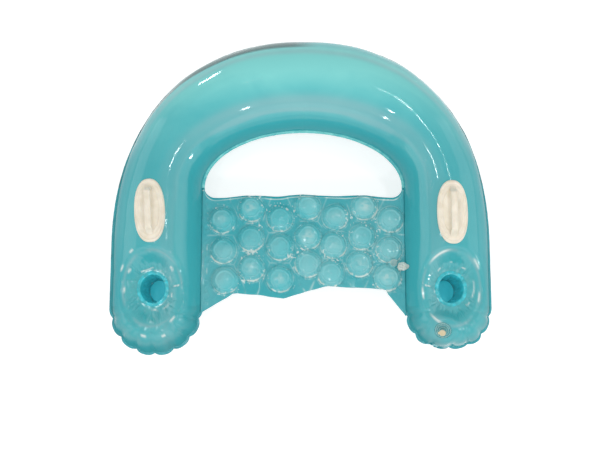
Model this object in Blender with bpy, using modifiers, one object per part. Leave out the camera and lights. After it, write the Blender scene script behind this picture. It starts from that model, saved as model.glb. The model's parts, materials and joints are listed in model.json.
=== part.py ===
"""Inflatable pool chair: a U-shaped vinyl air tube with a bubble seat hung between its arms.

The ring is two heat-welded films, a top and a bottom one, with a flat seam flange all round. Each
arm ends in a round pod whose seam is gathered into scallops. A cup sleeve ties the two films
together in each pod, so the pod is drawn in like a cushion round its tuft. The seat is a second air
chamber, two films welded round twenty-one bubbles, lapped on the ring's inner flange.

Metres. Seen from the front, looking at the backrest, -X is left and +X is right; +Y points to the
backrest and +Z is up. The origin is on the floor under the middle of the ring's plan.
"""
import math

import bmesh
import bpy
from mathutils import Matrix, Vector
from mathutils.geometry import delaunay_2d_cdt

# Film and welds
FILM = 0.0004
WELD_GAP = 0.0003
SEAM_FLANGE = 0.007
MERGE_DISTANCE = 0.0000001

# The ring in plan, measured over its flanges
RING_WIDTH = 1.032
RING_DEPTH = 0.865
ARM_WIDTH = 0.245
BACK_WIDTH = 0.2634
OUTER_RISE = 0.581
INNER_RISE = 0.1554
OUTER_POWER = 2.25

# Heights of the tube above and below its seam, and of the seam above the floor
SEAM_HEIGHT = 0.110
ARM_HALF_HEIGHT = 0.114
BACK_HALF_HEIGHT = 0.118
POD_HALF_HEIGHT = 0.100
POD_FALL_START = 0.145
POD_FALL_LENGTH = 0.110

# Scallops of the seam round a pod
SCALLOPS = 7
SCALLOP_DEPTH = 0.007
SCALLOP_SHARPNESS = 1.5

# Cups
CUP_SETBACK = 0.045
CUP_WIDTH = 0.068
CUP_LENGTH = 0.077
CUP_MOUTH_HEIGHT = 0.056
CUP_FLOOR_DROP = 0.055
CUP_SEAT_SHARE = 1.38
CUP_DIMPLE_SHARE = 2.9
CUP_LIP_WIDTH = 0.0095
CUP_TAPER = 0.0046
CUP_FLOOR_LIP = 0.004
CUP_SIDE_CLEARANCE = 0.0008
CUP_FLOOR_SHEET = 0.0006

# Grab handles
HANDLE_BEHIND_CUP = 0.197
HANDLE_OUTBOARD = 0.005
HANDLE_LENGTH = 0.168
HANDLE_WIDTH = 0.082
HANDLE_POWER = 2.35
HANDLE_PLATE = 0.0022
HANDLE_WELD = 0.0006
HANDLE_RIM = 0.0014
HANDLE_RIDGE = 0.0010
GRIP_LENGTH = 0.134
GRIP_WIDTH = 0.018
GRIP_THICKNESS = 0.006
GRIP_CLEARANCE = 0.020
GRIP_FOOT = 0.015
GRIP_SLOPE = 0.016
GRIP_ROUNDING = 0.002
LEFT_HANDLE_TURN_DEG = 3.6
# Rings of the moulded plate, from the centre out: share of its half-size, height above the plate
PLATE_RING_SHARES = (0.36, 0.62, 0.70, 0.78, 0.89, 0.955, 1.0)
PLATE_RIDGE_SHARES = (0.0, 0.0, 1.0, 0.0, 0.0, 0.0, 0.0)
PLATE_RIM_SHARES = (0.0, 0.0, 0.0, 0.0, 0.0, 1.0, -0.4)
PLATE_UNDER_SHARES = (1.0, 0.66, 0.33)

# Seat
SEAT_CORNER_RADIUS = 0.025
SEAT_DEPTH = 0.260
SEAT_BACK_BOW = 0.008
SEAT_TIP_BELOW_POD = 0.020
SEAT_WEB_WIDTH = 0.076
SEAT_SAG = 0.020
SEAT_SIDE_CLEARANCE = 0.0007
SEAT_FOLD_INSET = 0.003
BUBBLE_RADIUS = 0.031
BUBBLE_LEAST_GAP = 0.010
BUBBLE_SIDE_MARGIN = 0.0385
BUBBLE_FRONT_MARGIN = 0.0385
BUBBLE_FIRST_ROW = 0.027
BUBBLE_STAGGER = 0.0345
BUBBLE_SHIFT_X = 0.004
BUBBLE_HEIGHT = 0.017
BUBBLE_RING_SHARES = (1.0, 0.62)
BUBBLE_WELD_SHARE = 0.9997
BUBBLE_ROUNDNESS = 0.75
POCKET_RADIUS = 0.0132
POCKET_TOP_RADIUS = 0.0108
POCKET_HEIGHT = 0.0085
POCKET_INSET = 0.0190

# Main air valve, in the front of the right-hand pod. The stem slides in by its push, and then
# still stands proud of the boss by its rise.
MAIN_VALVE_FROM_POD = 0.0685
MAIN_VALVE_BEARING_DEG = -110.0
MAIN_VALVE_SEAT = 0.030
MAIN_VALVE_BLEND = 0.012
MAIN_VALVE = {
    "flange_radius": 0.0230,
    "flange_thickness": 0.0008,
    "boss_radius": 0.0105,
    "boss_height": 0.0026,
    "collar_wall": 0.0012,
    "collar_depth": 0.0090,
    "stem_radius": 0.0066,
    "stem_wall": 0.0018,
    "stem_depth": 0.0140,
    "stem_rise": 0.0050,
    "push": 0.0080,
    "cap_radius": 0.0085,
    "cap_thickness": 0.0020,
    "shank_length": 0.0040,
    "tab_width": 0.0060,
    "hinge_offset": 0.0105,
    "flap_thickness": 0.0006,
}

# Seat air valve, on a small pocket beside the last column of bubbles
SEAT_VALVE = {
    "flange_radius": 0.0100,
    "flange_thickness": 0.0008,
    "boss_radius": 0.0062,
    "boss_height": 0.0014,
    "collar_wall": 0.0008,
    "collar_depth": 0.0030,
    "stem_radius": 0.0040,
    "stem_wall": 0.0012,
    "stem_depth": 0.0050,
    "stem_rise": 0.0040,
    "push": 0.0050,
    "cap_radius": 0.0052,
    "cap_thickness": 0.0018,
    "shank_length": 0.0025,
    "tab_width": 0.0040,
    "hinge_offset": 0.0068,
    "flap_thickness": 0.0005,
}
RUNNING_GAP = 0.0004
PLUG_GAP = 0.0003
CUT_CLEARANCE = 0.0004
CUT_OVERRUN = 0.004

# Facets
SECTION_STEPS = 10
ARM_ROWS = 4
BACK_ROWS = 11
POD_SIDE_STEPS = 5
STEPS_PER_SCALLOP = 4
TOP_POD_RINGS = 5
BOTTOM_POD_RINGS = 3
CUP_SIDES = 24
HANDLE_SIDES = 24
BUBBLE_SIDES = 10
VALVE_SIDES = 16


# The pods' scalloped seam, which sets how far back their centres lie


def gather(turn):
    """How far a scallop's notch is drawn in at a share of the pod's half-turn: 1 in a notch."""
    return (1.0 - abs(math.cos(math.pi * SCALLOPS * turn))) ** SCALLOP_SHARPNESS


def pod_radius(turn):
    """Radius of the pod's seam at a share of its half-turn."""
    return ARM_WIDTH / 2 - SEAM_FLANGE - SCALLOP_DEPTH * gather(turn)


def pod_turns():
    """Shares of the pod's half-turn where its seam has a point."""
    steps = SCALLOPS * STEPS_PER_SCALLOP
    return [step / steps for step in range(steps + 1)]


def pod_reach():
    """How far the scalloped edge of a pod reaches forward of the pod's centre."""
    return max((pod_radius(turn) + SEAM_FLANGE) * math.sin(math.pi * turn) for turn in pod_turns())


# Derived places
HALF_GAP = WELD_GAP / 2
HALF_WIDTH = RING_WIDTH / 2
BACK_Y = RING_DEPTH / 2
INNER_EDGE = HALF_WIDTH - ARM_WIDTH
OUTER_START_Y = BACK_Y - OUTER_RISE
INNER_START_Y = BACK_Y - BACK_WIDTH - INNER_RISE
POD_X = HALF_WIDTH - ARM_WIDTH / 2
POD_Y = pod_reach() - BACK_Y
CUP_Y = POD_Y + CUP_SETBACK
FALL_TOP_Y = CUP_Y + POD_FALL_START
HANDLE_X = POD_X + HANDLE_OUTBOARD
HANDLE_Y = CUP_Y + HANDLE_BEHIND_CUP
SEAT_LAP = 2 * FILM + 2 * WELD_GAP
SEAT_EDGE = INNER_EDGE + SEAM_FLANGE - SEAT_SIDE_CLEARANCE
SEAT_FOLD = INNER_EDGE - SEAT_FOLD_INSET
SEAT_BACK_Y = INNER_START_Y - SEAT_CORNER_RADIUS
SEAT_FRONT_Y = SEAT_BACK_Y - SEAT_DEPTH
SEAT_TIP_Y = POD_Y - SEAT_TIP_BELOW_POD
SEAT_SHOULDER = SEAT_FOLD - SEAT_WEB_WIDTH

# As many bubbles as the seat holds, spread evenly
BUBBLE_LEAST_PITCH = 2 * BUBBLE_RADIUS + BUBBLE_LEAST_GAP
BUBBLE_SPAN_X = 2 * (SEAT_FOLD - BUBBLE_SIDE_MARGIN)
BUBBLE_SPAN_Y = SEAT_DEPTH - BUBBLE_FIRST_ROW - BUBBLE_STAGGER - BUBBLE_FRONT_MARGIN
BUBBLE_COLUMNS = max(int(BUBBLE_SPAN_X / BUBBLE_LEAST_PITCH) + 1, 2)
BUBBLE_ROWS = max(int(BUBBLE_SPAN_Y / BUBBLE_LEAST_PITCH) + 1, 2)
BUBBLE_PITCH_X = BUBBLE_SPAN_X / (BUBBLE_COLUMNS - 1)
BUBBLE_PITCH_Y = BUBBLE_SPAN_Y / (BUBBLE_ROWS - 1)

# Finishes: base colour, roughness, alpha
FINISHES = {
    "clear_aqua_vinyl": ((0.070, 0.430, 0.500), 0.12, 0.75),
    "deep_aqua_vinyl": ((0.040, 0.520, 0.580), 0.25, 0.90),
    "cream_moulding": ((0.830, 0.780, 0.660), 0.45, 1.0),
    "clear_moulding": ((0.560, 0.600, 0.560), 0.20, 0.85),
    "ivory_plug": ((0.780, 0.740, 0.620), 0.35, 1.0),
}


def clear_scene():
    """Remove every object of the start-up scene."""
    for old in list(bpy.data.objects):
        bpy.data.objects.remove(old, do_unlink=True)


def collection(name):
    """A new collection under the scene's own."""
    made = bpy.data.collections.new(name)
    bpy.context.scene.collection.children.link(made)
    return made


def finish(name):
    """The Principled material of a named finish, made once."""
    if name in bpy.data.materials:
        return bpy.data.materials[name]
    colour, roughness, alpha = FINISHES[name]
    material = bpy.data.materials.new(name)
    material.use_nodes = True
    shader = material.node_tree.nodes["Principled BSDF"]
    shader.inputs["Base Color"].default_value = (*colour, 1.0)
    shader.inputs["Roughness"].default_value = roughness
    shader.inputs["Metallic"].default_value = 0.0
    shader.inputs["Alpha"].default_value = alpha
    return material


def place(bm, name, where, finish_name, matrix=None):
    """Turn a bmesh into a smooth-shaded object in a collection."""
    mesh = bpy.data.meshes.new(name)
    bm.to_mesh(mesh)
    bm.free()
    mesh.materials.append(finish(finish_name))
    mesh.shade_smooth()
    obj = bpy.data.objects.new(name, mesh)
    where.objects.link(obj)
    if matrix is not None:
        obj.matrix_world = matrix
    return obj


def hide_cutter(obj):
    """Mark an object as a cutter, which is no part of the model."""
    obj.hide_render = True
    obj.display_type = "WIRE"
    return obj


def solidify(obj, thickness):
    """Give an open surface its film thickness, outward from its faces."""
    made = obj.modifiers.new("film thickness", "SOLIDIFY")
    made.thickness = thickness
    made.offset = 1.0
    made.use_even_offset = True


def boolean(obj, other, operation):
    """Cut or join with another object by the exact solver."""
    made = obj.modifiers.new(f"{operation.lower()} {other.name}", "BOOLEAN")
    made.operation = operation
    made.solver = "EXACT"
    made.object = other


def smoothstep(share):
    """Ease from 0 to 1 with level ends."""
    share = min(max(share, 0.0), 1.0)
    return share * share * (3.0 - 2.0 * share)


# The ring's plan and height


def outer_edge(y):
    """Half-width of the ring's outer edge: straight beside the arms, a superellipse round the back."""
    if y <= OUTER_START_Y:
        return HALF_WIDTH
    share = min((y - OUTER_START_Y) / OUTER_RISE, 1.0)
    return HALF_WIDTH * (1.0 - share**OUTER_POWER) ** (1.0 / OUTER_POWER)


def half_height(y):
    """Half-height of the tube along an arm, which falls towards its pod."""
    fall = smoothstep((FALL_TOP_Y - y) / POD_FALL_LENGTH)
    return ARM_HALF_HEIGHT + (POD_HALF_HEIGHT - ARM_HALF_HEIGHT) * fall


def crown(x, y):
    """Share of the half-height at a plan point of an arm or pod: 1 on the crest, 0 on the seam."""
    if y >= POD_Y:
        outer = outer_edge(y) - SEAM_FLANGE
        inner = INNER_EDGE + SEAM_FLANGE
        off = abs(x - (outer + inner) / 2) / ((outer - inner) / 2)
    else:
        turn = math.atan2(POD_Y - y, x - POD_X) / math.pi
        off = math.hypot(x - POD_X, y - POD_Y) / pod_radius(turn)
    return math.sqrt(max(0.0, 1.0 - off * off))


def cup_distance(x, y):
    """Distance from a cup's axis as a share of its mouth."""
    return math.hypot((x - POD_X) / (CUP_WIDTH / 2), (y - CUP_Y) / (CUP_LENGTH / 2))


def film_height(x, y, tie):
    """Height of a film over the seam plane on an arm or pod; tie is its height at the cup."""
    reach = (cup_distance(x, y) - CUP_SEAT_SHARE) / (CUP_DIMPLE_SHARE - CUP_SEAT_SHARE)
    loose = smoothstep(reach)
    return half_height(y) * crown(x, y) * loose + tie * (1.0 - loose)


def valve_frame():
    """Matrix of the main valve: origin on the inside of the top film, +Z out along the valve."""
    bearing = math.radians(MAIN_VALVE_BEARING_DEG)
    x = POD_X + MAIN_VALVE_FROM_POD * math.cos(bearing)
    y = POD_Y + MAIN_VALVE_FROM_POD * math.sin(bearing)
    step = MAIN_VALVE_BLEND
    rise_x = film_height(x + step, y, CUP_MOUTH_HEIGHT) - film_height(x - step, y, CUP_MOUTH_HEIGHT)
    rise_y = film_height(x, y + step, CUP_MOUTH_HEIGHT) - film_height(x, y - step, CUP_MOUTH_HEIGHT)
    normal = Vector((-rise_x, -rise_y, 2 * step)).normalized()
    across = Vector((0.0, 1.0, 0.0)).cross(normal).normalized()
    up = normal.cross(across)
    origin = Vector((x, y, film_height(x, y, CUP_MOUTH_HEIGHT) + HALF_GAP + SEAM_HEIGHT))
    turn = Matrix((across, up, normal)).transposed().to_4x4()
    return Matrix.Translation(origin) @ turn


def flattened(x, y, height, frame):
    """The height with the film drawn flat under the main valve's flange."""
    origin = frame.translation
    normal = frame.to_3x3() @ Vector((0.0, 0.0, 1.0))
    off = math.hypot(x - origin.x, y - origin.y)
    keep = smoothstep((off - MAIN_VALVE_SEAT) / MAIN_VALVE_BLEND)
    slope = (normal.x * (x - origin.x) + normal.y * (y - origin.y)) / normal.z
    plane = origin.z - SEAM_HEIGHT - HALF_GAP - slope
    return height * keep + plane * (1.0 - keep)


def section_row(outer, inner, height):
    """Points across the tube from its outer to its inner seam, with the two flange edges."""
    outer, inner = Vector(outer), Vector(inner)
    along = (inner - outer).normalized() * SEAM_FLANGE
    seam_out, seam_in = outer + along, inner - along
    middle, reach = (seam_out + seam_in) / 2, (seam_in - seam_out) / 2
    row = []
    for step in range(SECTION_STEPS + 1):
        angle = math.pi * (step / SECTION_STEPS - 0.5)
        spot = middle + reach * math.sin(angle)
        rise = height * math.cos(angle) if 0 < step < SECTION_STEPS else 0.0
        row.append((spot.x, spot.y, rise))
    return row, (outer.x, outer.y, 0.0), (inner.x, inner.y, 0.0)


def ring_rows():
    """Sections of the right half of the ring, from its pod to the middle of the back."""
    rows = []
    for step in range(ARM_ROWS + 1):
        y = OUTER_START_Y + (INNER_START_Y - OUTER_START_Y) * step / ARM_ROWS
        rows.append(section_row((outer_edge(y), y), (INNER_EDGE, y), half_height(y)))
    power = 2.0 / OUTER_POWER
    start = math.asin(((INNER_START_Y - OUTER_START_Y) / OUTER_RISE) ** (1.0 / power))
    for step in range(1, BACK_ROWS + 1):
        turn = math.pi / 2 * step / BACK_ROWS
        swept = start + (math.pi / 2 - start) * step / BACK_ROWS
        outer_x = HALF_WIDTH * max(math.cos(swept), 0.0) ** power
        outer = (outer_x, OUTER_START_Y + OUTER_RISE * math.sin(swept) ** power)
        inner = (INNER_EDGE * math.cos(turn), INNER_START_Y + INNER_RISE * math.sin(turn))
        if step == BACK_ROWS:
            outer, inner = (0.0, outer[1]), (0.0, inner[1])
        swell = (BACK_HALF_HEIGHT - ARM_HALF_HEIGHT) * math.sin(turn) ** 2
        rows.append(section_row(outer, inner, ARM_HALF_HEIGHT + swell))
    return rows


def pod_seam():
    """The pod's seam and flange edge from the inner end of its section, round the front, to the outer."""
    drop = OUTER_START_Y - POD_Y
    seam, edge = [], []
    for step in range(1, POD_SIDE_STEPS):
        y = OUTER_START_Y - drop * step / POD_SIDE_STEPS
        seam.append((INNER_EDGE + SEAM_FLANGE, y))
        edge.append((INNER_EDGE, y))
    for turn in reversed(pod_turns()):
        reach_x, reach_y = math.cos(math.pi * turn), -math.sin(math.pi * turn)
        radius = pod_radius(turn)
        seam.append((POD_X + radius * reach_x, POD_Y + radius * reach_y))
        radius += SEAM_FLANGE
        edge.append((POD_X + radius * reach_x, POD_Y + radius * reach_y))
    for step in range(1, POD_SIDE_STEPS):
        y = POD_Y + drop * step / POD_SIDE_STEPS
        seam.append((HALF_WIDTH - SEAM_FLANGE, y))
        edge.append((HALF_WIDTH, y))
    return seam, edge


def pod_ring_shares(rings, rise):
    """Shares of the way from the cup's seat to the pod's rim, closer together near a seam."""
    shares = []
    for step in range(1, rings):
        even = step / rings
        shares.append(even * rise + math.sin(math.pi / 2 * even) * (1.0 - rise))
    return shares


def add_strip(bm, first, second, flip, closed=False):
    """Quads between two equal rows of vertices."""
    count = len(first)
    for index in range(count if closed else count - 1):
        after = (index + 1) % count
        corners = [first[index], first[after], second[after], second[index]]
        if flip:
            corners.reverse()
        bm.faces.new(corners)


def half_ring(bm, side, up, rings, tie, frame):
    """Add one half of a ring film: side is 1 for +X and -1 for -X, up is 1 for the top film."""
    lowest = SEAM_HEIGHT - FILM - HALF_GAP

    def vertex(x, y, height):
        if frame is not None and height > 0.0:
            height = flattened(x, y, height, frame)
        if up < 0:
            height = min(height, lowest)
        return bm.verts.new((side * x, y, SEAM_HEIGHT + up * (height + HALF_GAP)))

    flip = side * up < 0
    rows, outer_edges, inner_edges = [], [], []
    for row, outer, inner in ring_rows():
        rows.append([vertex(*spot) for spot in row])
        outer_edges.append(vertex(*outer))
        inner_edges.append(vertex(*inner))
    for lower, higher in zip(rows, rows[1:]):
        add_strip(bm, lower, higher, not flip)
    seam_plan, edge_plan = pod_seam()
    seam = [vertex(x, y, 0.0) for x, y in seam_plan]
    edge = [vertex(x, y, 0.0) for x, y in edge_plan]
    rim = rows[0] + seam
    shares_by_spot = []
    for spot in rim:
        x, y = side * spot.co.x, spot.co.y
        rise = crown(x, y) ** 2 if spot in rows[0] else 0.0
        shares_by_spot.append(pod_ring_shares(rings, rise))
    previous = rim
    for ring in range(rings - 2, -1, -1):
        current = []
        for spot, shares in zip(rim, shares_by_spot):
            x, y = side * spot.co.x, spot.co.y
            reach = cup_distance(x, y)
            share = (CUP_SEAT_SHARE + (reach - CUP_SEAT_SHARE) * shares[ring]) / reach
            at_x, at_y = POD_X + (x - POD_X) * share, CUP_Y + (y - CUP_Y) * share
            current.append(vertex(at_x, at_y, film_height(at_x, at_y, tie)))
        add_strip(bm, current, previous, not flip, closed=True)
        previous = current
    for target in (CUP_SEAT_SHARE, 1.0):
        current = []
        for spot in rim:
            x, y = side * spot.co.x, spot.co.y
            share = target / cup_distance(x, y)
            current.append(vertex(POD_X + (x - POD_X) * share, CUP_Y + (y - CUP_Y) * share, tie))
        add_strip(bm, current, previous, not flip, closed=True)
        previous = current
    if up < 0:
        bm.faces.new(previous[::-1] if flip else previous)
    outer_chain = [row[0] for row in rows][::-1]
    inner_chain = [row[-1] for row in rows]
    seam_chain = outer_chain[:-1] + [rows[0][0]] + seam[::-1] + inner_chain
    edge_chain = outer_edges[::-1] + edge[::-1] + inner_edges
    add_strip(bm, edge_chain, seam_chain, not flip)


def ring_film(name, up, where):
    """One film of the ring, top or bottom, with its thickness outward."""
    bm = bmesh.new()
    rings = TOP_POD_RINGS if up > 0 else BOTTOM_POD_RINGS
    tie = CUP_MOUTH_HEIGHT if up > 0 else CUP_FLOOR_DROP
    half_ring(bm, 1, up, rings, tie, valve_frame() if up > 0 else None)
    half_ring(bm, -1, up, rings, tie, None)
    bmesh.ops.remove_doubles(bm, verts=bm.verts, dist=HALF_GAP)
    obj = place(bm, name, where, "clear_aqua_vinyl")
    solidify(obj, FILM)
    return obj


# Cups


def oval_loft(profile, oval, sides):
    """A ring whose section is a closed profile of (radius, height), stretched by oval along Y."""
    bm = bmesh.new()
    loops = []
    for side in range(sides):
        angle = 2 * math.pi * side / sides
        loop = []
        for radius, height in profile:
            x, y = radius * math.cos(angle), (radius + oval) * math.sin(angle)
            loop.append(bm.verts.new((x, y, height)))
        loops.append(loop)
    for index, loop in enumerate(loops):
        add_strip(bm, loop, loops[(index + 1) % sides], False, closed=True)
    return bm


def cup_sleeve(name, side, where):
    """The tapered well: a lip on the top film, a wall through the pod and a lip on the cup's floor."""
    mouth = CUP_WIDTH / 2 - CUP_SIDE_CLEARANCE
    foot = mouth - CUP_TAPER
    lip_low = CUP_MOUTH_HEIGHT + HALF_GAP + FILM + WELD_GAP
    lip_high = lip_low + FILM
    floor_low = -CUP_FLOOR_DROP - HALF_GAP + WELD_GAP + CUP_FLOOR_SHEET + WELD_GAP
    floor_high = floor_low + FILM
    profile = (
        (mouth - FILM, lip_high),
        (mouth + CUP_LIP_WIDTH, lip_high),
        (mouth + CUP_LIP_WIDTH, lip_low),
        (mouth, lip_low),
        (foot, floor_low),
        (foot - CUP_FLOOR_LIP, floor_low),
        (foot - CUP_FLOOR_LIP, floor_high),
        (foot - FILM, floor_high),
    )
    bm = oval_loft(profile, (CUP_LENGTH - CUP_WIDTH) / 2, CUP_SIDES)
    bmesh.ops.recalc_face_normals(bm, faces=bm.faces)
    frame = Matrix.Translation((side * POD_X, CUP_Y, SEAM_HEIGHT))
    return place(bm, name, where, "deep_aqua_vinyl", frame)


def cup_floor(name, side, where):
    """The disc that closes the well, lying on the bottom film."""
    radius = CUP_WIDTH / 2 - CUP_SIDE_CLEARANCE - CUP_TAPER
    oval = (CUP_LENGTH - CUP_WIDTH) / 2
    low = -CUP_FLOOR_DROP - HALF_GAP + WELD_GAP
    bm = bmesh.new()
    rim = []
    for step in range(CUP_SIDES):
        angle = 2 * math.pi * step / CUP_SIDES
        rim.append(bm.verts.new((radius * math.cos(angle), (radius + oval) * math.sin(angle), low)))
    base = bm.faces.new(rim[::-1])
    grown = bmesh.ops.extrude_face_region(bm, geom=[base])
    lifted = [item for item in grown["geom"] if isinstance(item, bmesh.types.BMVert)]
    bmesh.ops.translate(bm, vec=(0.0, 0.0, CUP_FLOOR_SHEET), verts=lifted)
    bmesh.ops.recalc_face_normals(bm, faces=bm.faces)
    frame = Matrix.Translation((side * POD_X, CUP_Y, SEAM_HEIGHT))
    return place(bm, name, where, "deep_aqua_vinyl", frame)


# Grab handles


def handle_plate(turn):
    """The moulded oval plate, shaped to the tube under it, in the right-hand arm's own place."""
    bm = bmesh.new()
    cos_turn, sin_turn = math.cos(turn), math.sin(turn)
    under = HALF_GAP + FILM + HANDLE_WELD

    def rounded(value):
        return math.copysign(abs(value) ** (2 / HANDLE_POWER), value)

    def vertex(share, angle, lift):
        across = share * HANDLE_WIDTH / 2 * rounded(math.cos(angle))
        along = share * HANDLE_LENGTH / 2 * rounded(math.sin(angle))
        x = HANDLE_X + across * cos_turn - along * sin_turn
        y = HANDLE_Y + across * sin_turn + along * cos_turn
        return bm.verts.new((x, y, film_height(x, y, CUP_MOUTH_HEIGHT) + under + lift))

    def ring(share, lift):
        step = 2 * math.pi / HANDLE_SIDES
        return [vertex(share, step * index, lift) for index in range(HANDLE_SIDES)]

    def fan(centre, loop, flip):
        for index, spot in enumerate(loop):
            corners = [centre, spot, loop[(index + 1) % len(loop)]]
            if flip:
                corners.reverse()
            bm.faces.new(corners)

    previous = None
    for share, ridge, rim in zip(PLATE_RING_SHARES, PLATE_RIDGE_SHARES, PLATE_RIM_SHARES):
        loop = ring(share, HANDLE_PLATE + HANDLE_RIDGE * ridge + HANDLE_RIM * rim)
        if previous is None:
            fan(vertex(0.0, 0.0, HANDLE_PLATE), loop, False)
        else:
            add_strip(bm, loop, previous, True, closed=True)
        previous = loop
    for share in PLATE_UNDER_SHARES:
        loop = ring(share, 0.0)
        add_strip(bm, loop, previous, True, closed=True)
        previous = loop
    fan(vertex(0.0, 0.0, 0.0), previous, True)
    bmesh.ops.recalc_face_normals(bm, faces=bm.faces)
    return bm


def grip_outline():
    """Half of the strap grip seen from the side, over and under: distances along and above the plate."""
    half = GRIP_LENGTH / 2
    low, high = GRIP_CLEARANCE, GRIP_CLEARANCE + GRIP_THICKNESS
    root = -HANDLE_PLATE / 2
    shoulder = GRIP_THICKNESS / 2
    over = [
        (half, root),
        (half, shoulder),
        (half - GRIP_SLOPE / 2, (high + shoulder) / 2),
        (half - GRIP_SLOPE, high - shoulder),
        (half - GRIP_SLOPE - shoulder, high),
    ]
    under = [
        (half - GRIP_FOOT, root),
        (half - GRIP_FOOT, shoulder),
        (half - GRIP_SLOPE - GRIP_FOOT, low),
    ]
    return over, under


def grip_bar(turn):
    """The strap that the hand goes round, standing on the plate, as a flat outline pushed sideways."""
    over, under = grip_outline()
    outline = over + [(-along, above) for along, above in over[::-1]]
    outline += [(-along, above) for along, above in under] + under[::-1]
    bm = bmesh.new()
    crest = film_height(HANDLE_X, HANDLE_Y, CUP_MOUTH_HEIGHT)
    base = HALF_GAP + FILM + HANDLE_WELD + HANDLE_PLATE
    verts = []
    for along, above in outline:
        dip = film_height(HANDLE_X, HANDLE_Y + along, CUP_MOUTH_HEIGHT) - crest
        sink = dip if above < GRIP_CLEARANCE / 2 else 0.0
        verts.append(bm.verts.new((-GRIP_WIDTH / 2, along, crest + base + above + sink)))
    face = bm.faces.new(verts)
    grown = bmesh.ops.extrude_face_region(bm, geom=[face])
    moved = [item for item in grown["geom"] if isinstance(item, bmesh.types.BMVert)]
    bmesh.ops.translate(bm, vec=(GRIP_WIDTH, 0.0, 0.0), verts=moved)
    bmesh.ops.rotate(bm, matrix=Matrix.Rotation(turn, 3, "Z"), verts=bm.verts)
    bmesh.ops.translate(bm, vec=(HANDLE_X, HANDLE_Y, 0.0), verts=bm.verts)
    bmesh.ops.recalc_face_normals(bm, faces=bm.faces)
    return bm


def grab_handle(name, side, turn, where, helpers):
    """A one-piece moulded handle: its plate and its grip joined."""
    mirrored = Matrix.Diagonal((side, 1.0, 1.0, 1.0))
    lift = Matrix.Translation((0.0, 0.0, SEAM_HEIGHT))
    plate, bar = handle_plate(side * turn), grip_bar(side * turn)
    for bm in (plate, bar):
        bmesh.ops.transform(bm, matrix=lift @ mirrored, verts=bm.verts)
        bmesh.ops.recalc_face_normals(bm, faces=bm.faces)
    handle = place(plate, name, where, "cream_moulding")
    grip = hide_cutter(place(bar, f"{name}_grip", helpers, "cream_moulding"))
    rounding = grip.modifiers.new("rounded edges", "BEVEL")
    rounding.width = GRIP_ROUNDING
    rounding.segments = 1
    boolean(handle, grip, "UNION")
    return handle


# Seat


def bubble_centres():
    """Plan centres of the bubbles, in staggered columns."""
    centres = []
    for column in range(BUBBLE_COLUMNS):
        x = BUBBLE_SHIFT_X + BUBBLE_PITCH_X * (column - (BUBBLE_COLUMNS - 1) / 2)
        drop = BUBBLE_FIRST_ROW + (BUBBLE_STAGGER if column % 2 == 0 else 0.0)
        for row in range(BUBBLE_ROWS):
            centres.append((x, SEAT_BACK_Y - drop - BUBBLE_PITCH_Y * row))
    return centres


def pocket_centre():
    """Plan centre of the valve pocket, between the last two bubbles of the last column."""
    x, y = bubble_centres()[-1]
    return x + POCKET_INSET, y + BUBBLE_PITCH_Y / 2


def seat_middle(x):
    """Height of the seat's middle plane over the seam plane: level on the lap, sagging between."""
    share = min(abs(x) / SEAT_FOLD, 1.0)
    return SEAT_LAP - SEAT_SAG * (1.0 - share * share)


def seat_height(x, y, up):
    """Height of a seat film over the seam plane: welded web, bubbles and the valve's level pocket."""
    middle = seat_middle(x) + up * HALF_GAP
    for centre_x, centre_y in bubble_centres():
        share = math.hypot(x - centre_x, y - centre_y) / BUBBLE_RADIUS
        if share < BUBBLE_WELD_SHARE:
            return middle + up * BUBBLE_HEIGHT * (1.0 - share * share) ** BUBBLE_ROUNDNESS
    centre_x, centre_y = pocket_centre()
    if math.hypot(x - centre_x, y - centre_y) < (POCKET_RADIUS + POCKET_TOP_RADIUS) / 2:
        return seat_middle(centre_x) + up * (POCKET_HEIGHT + HALF_GAP)
    return middle


def seat_outline():
    """The seat's edge in plan, anticlockwise from the right-hand front tip."""
    steps = 3
    right = [(SEAT_EDGE, SEAT_TIP_Y), (SEAT_EDGE, INNER_START_Y)]
    corner_x = INNER_EDGE - SEAT_CORNER_RADIUS
    for step in range(steps + 1):
        angle = math.pi / 2 * step / steps
        x = corner_x + SEAT_CORNER_RADIUS * math.cos(angle)
        right.append((min(x, SEAT_FOLD), INNER_START_Y - SEAT_CORNER_RADIUS * math.sin(angle)))
    left = [(-x, y) for x, y in right[::-1]]
    back = []
    for column in range(BUBBLE_COLUMNS - 1, -1, -1):
        x = BUBBLE_PITCH_X * (column - (BUBBLE_COLUMNS - 1) / 2)
        back.append((x, SEAT_BACK_Y + SEAT_BACK_BOW * (1.0 - (x / corner_x) ** 2)))
    back = [spot for spot in back if abs(spot[0]) < corner_x]
    front = [(-SEAT_FOLD, SEAT_TIP_Y), (-SEAT_SHOULDER, SEAT_FRONT_Y)]
    front += [(0.0, SEAT_FRONT_Y), (SEAT_SHOULDER, SEAT_FRONT_Y), (SEAT_FOLD, SEAT_TIP_Y)]
    return right + back + left + front


def circle_points(centre, radius, sides):
    """Points of a regular polygon round a plan centre."""
    points = []
    for side in range(sides):
        angle = 2 * math.pi * side / sides
        points.append((centre[0] + radius * math.cos(angle), centre[1] + radius * math.sin(angle)))
    return points


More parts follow.
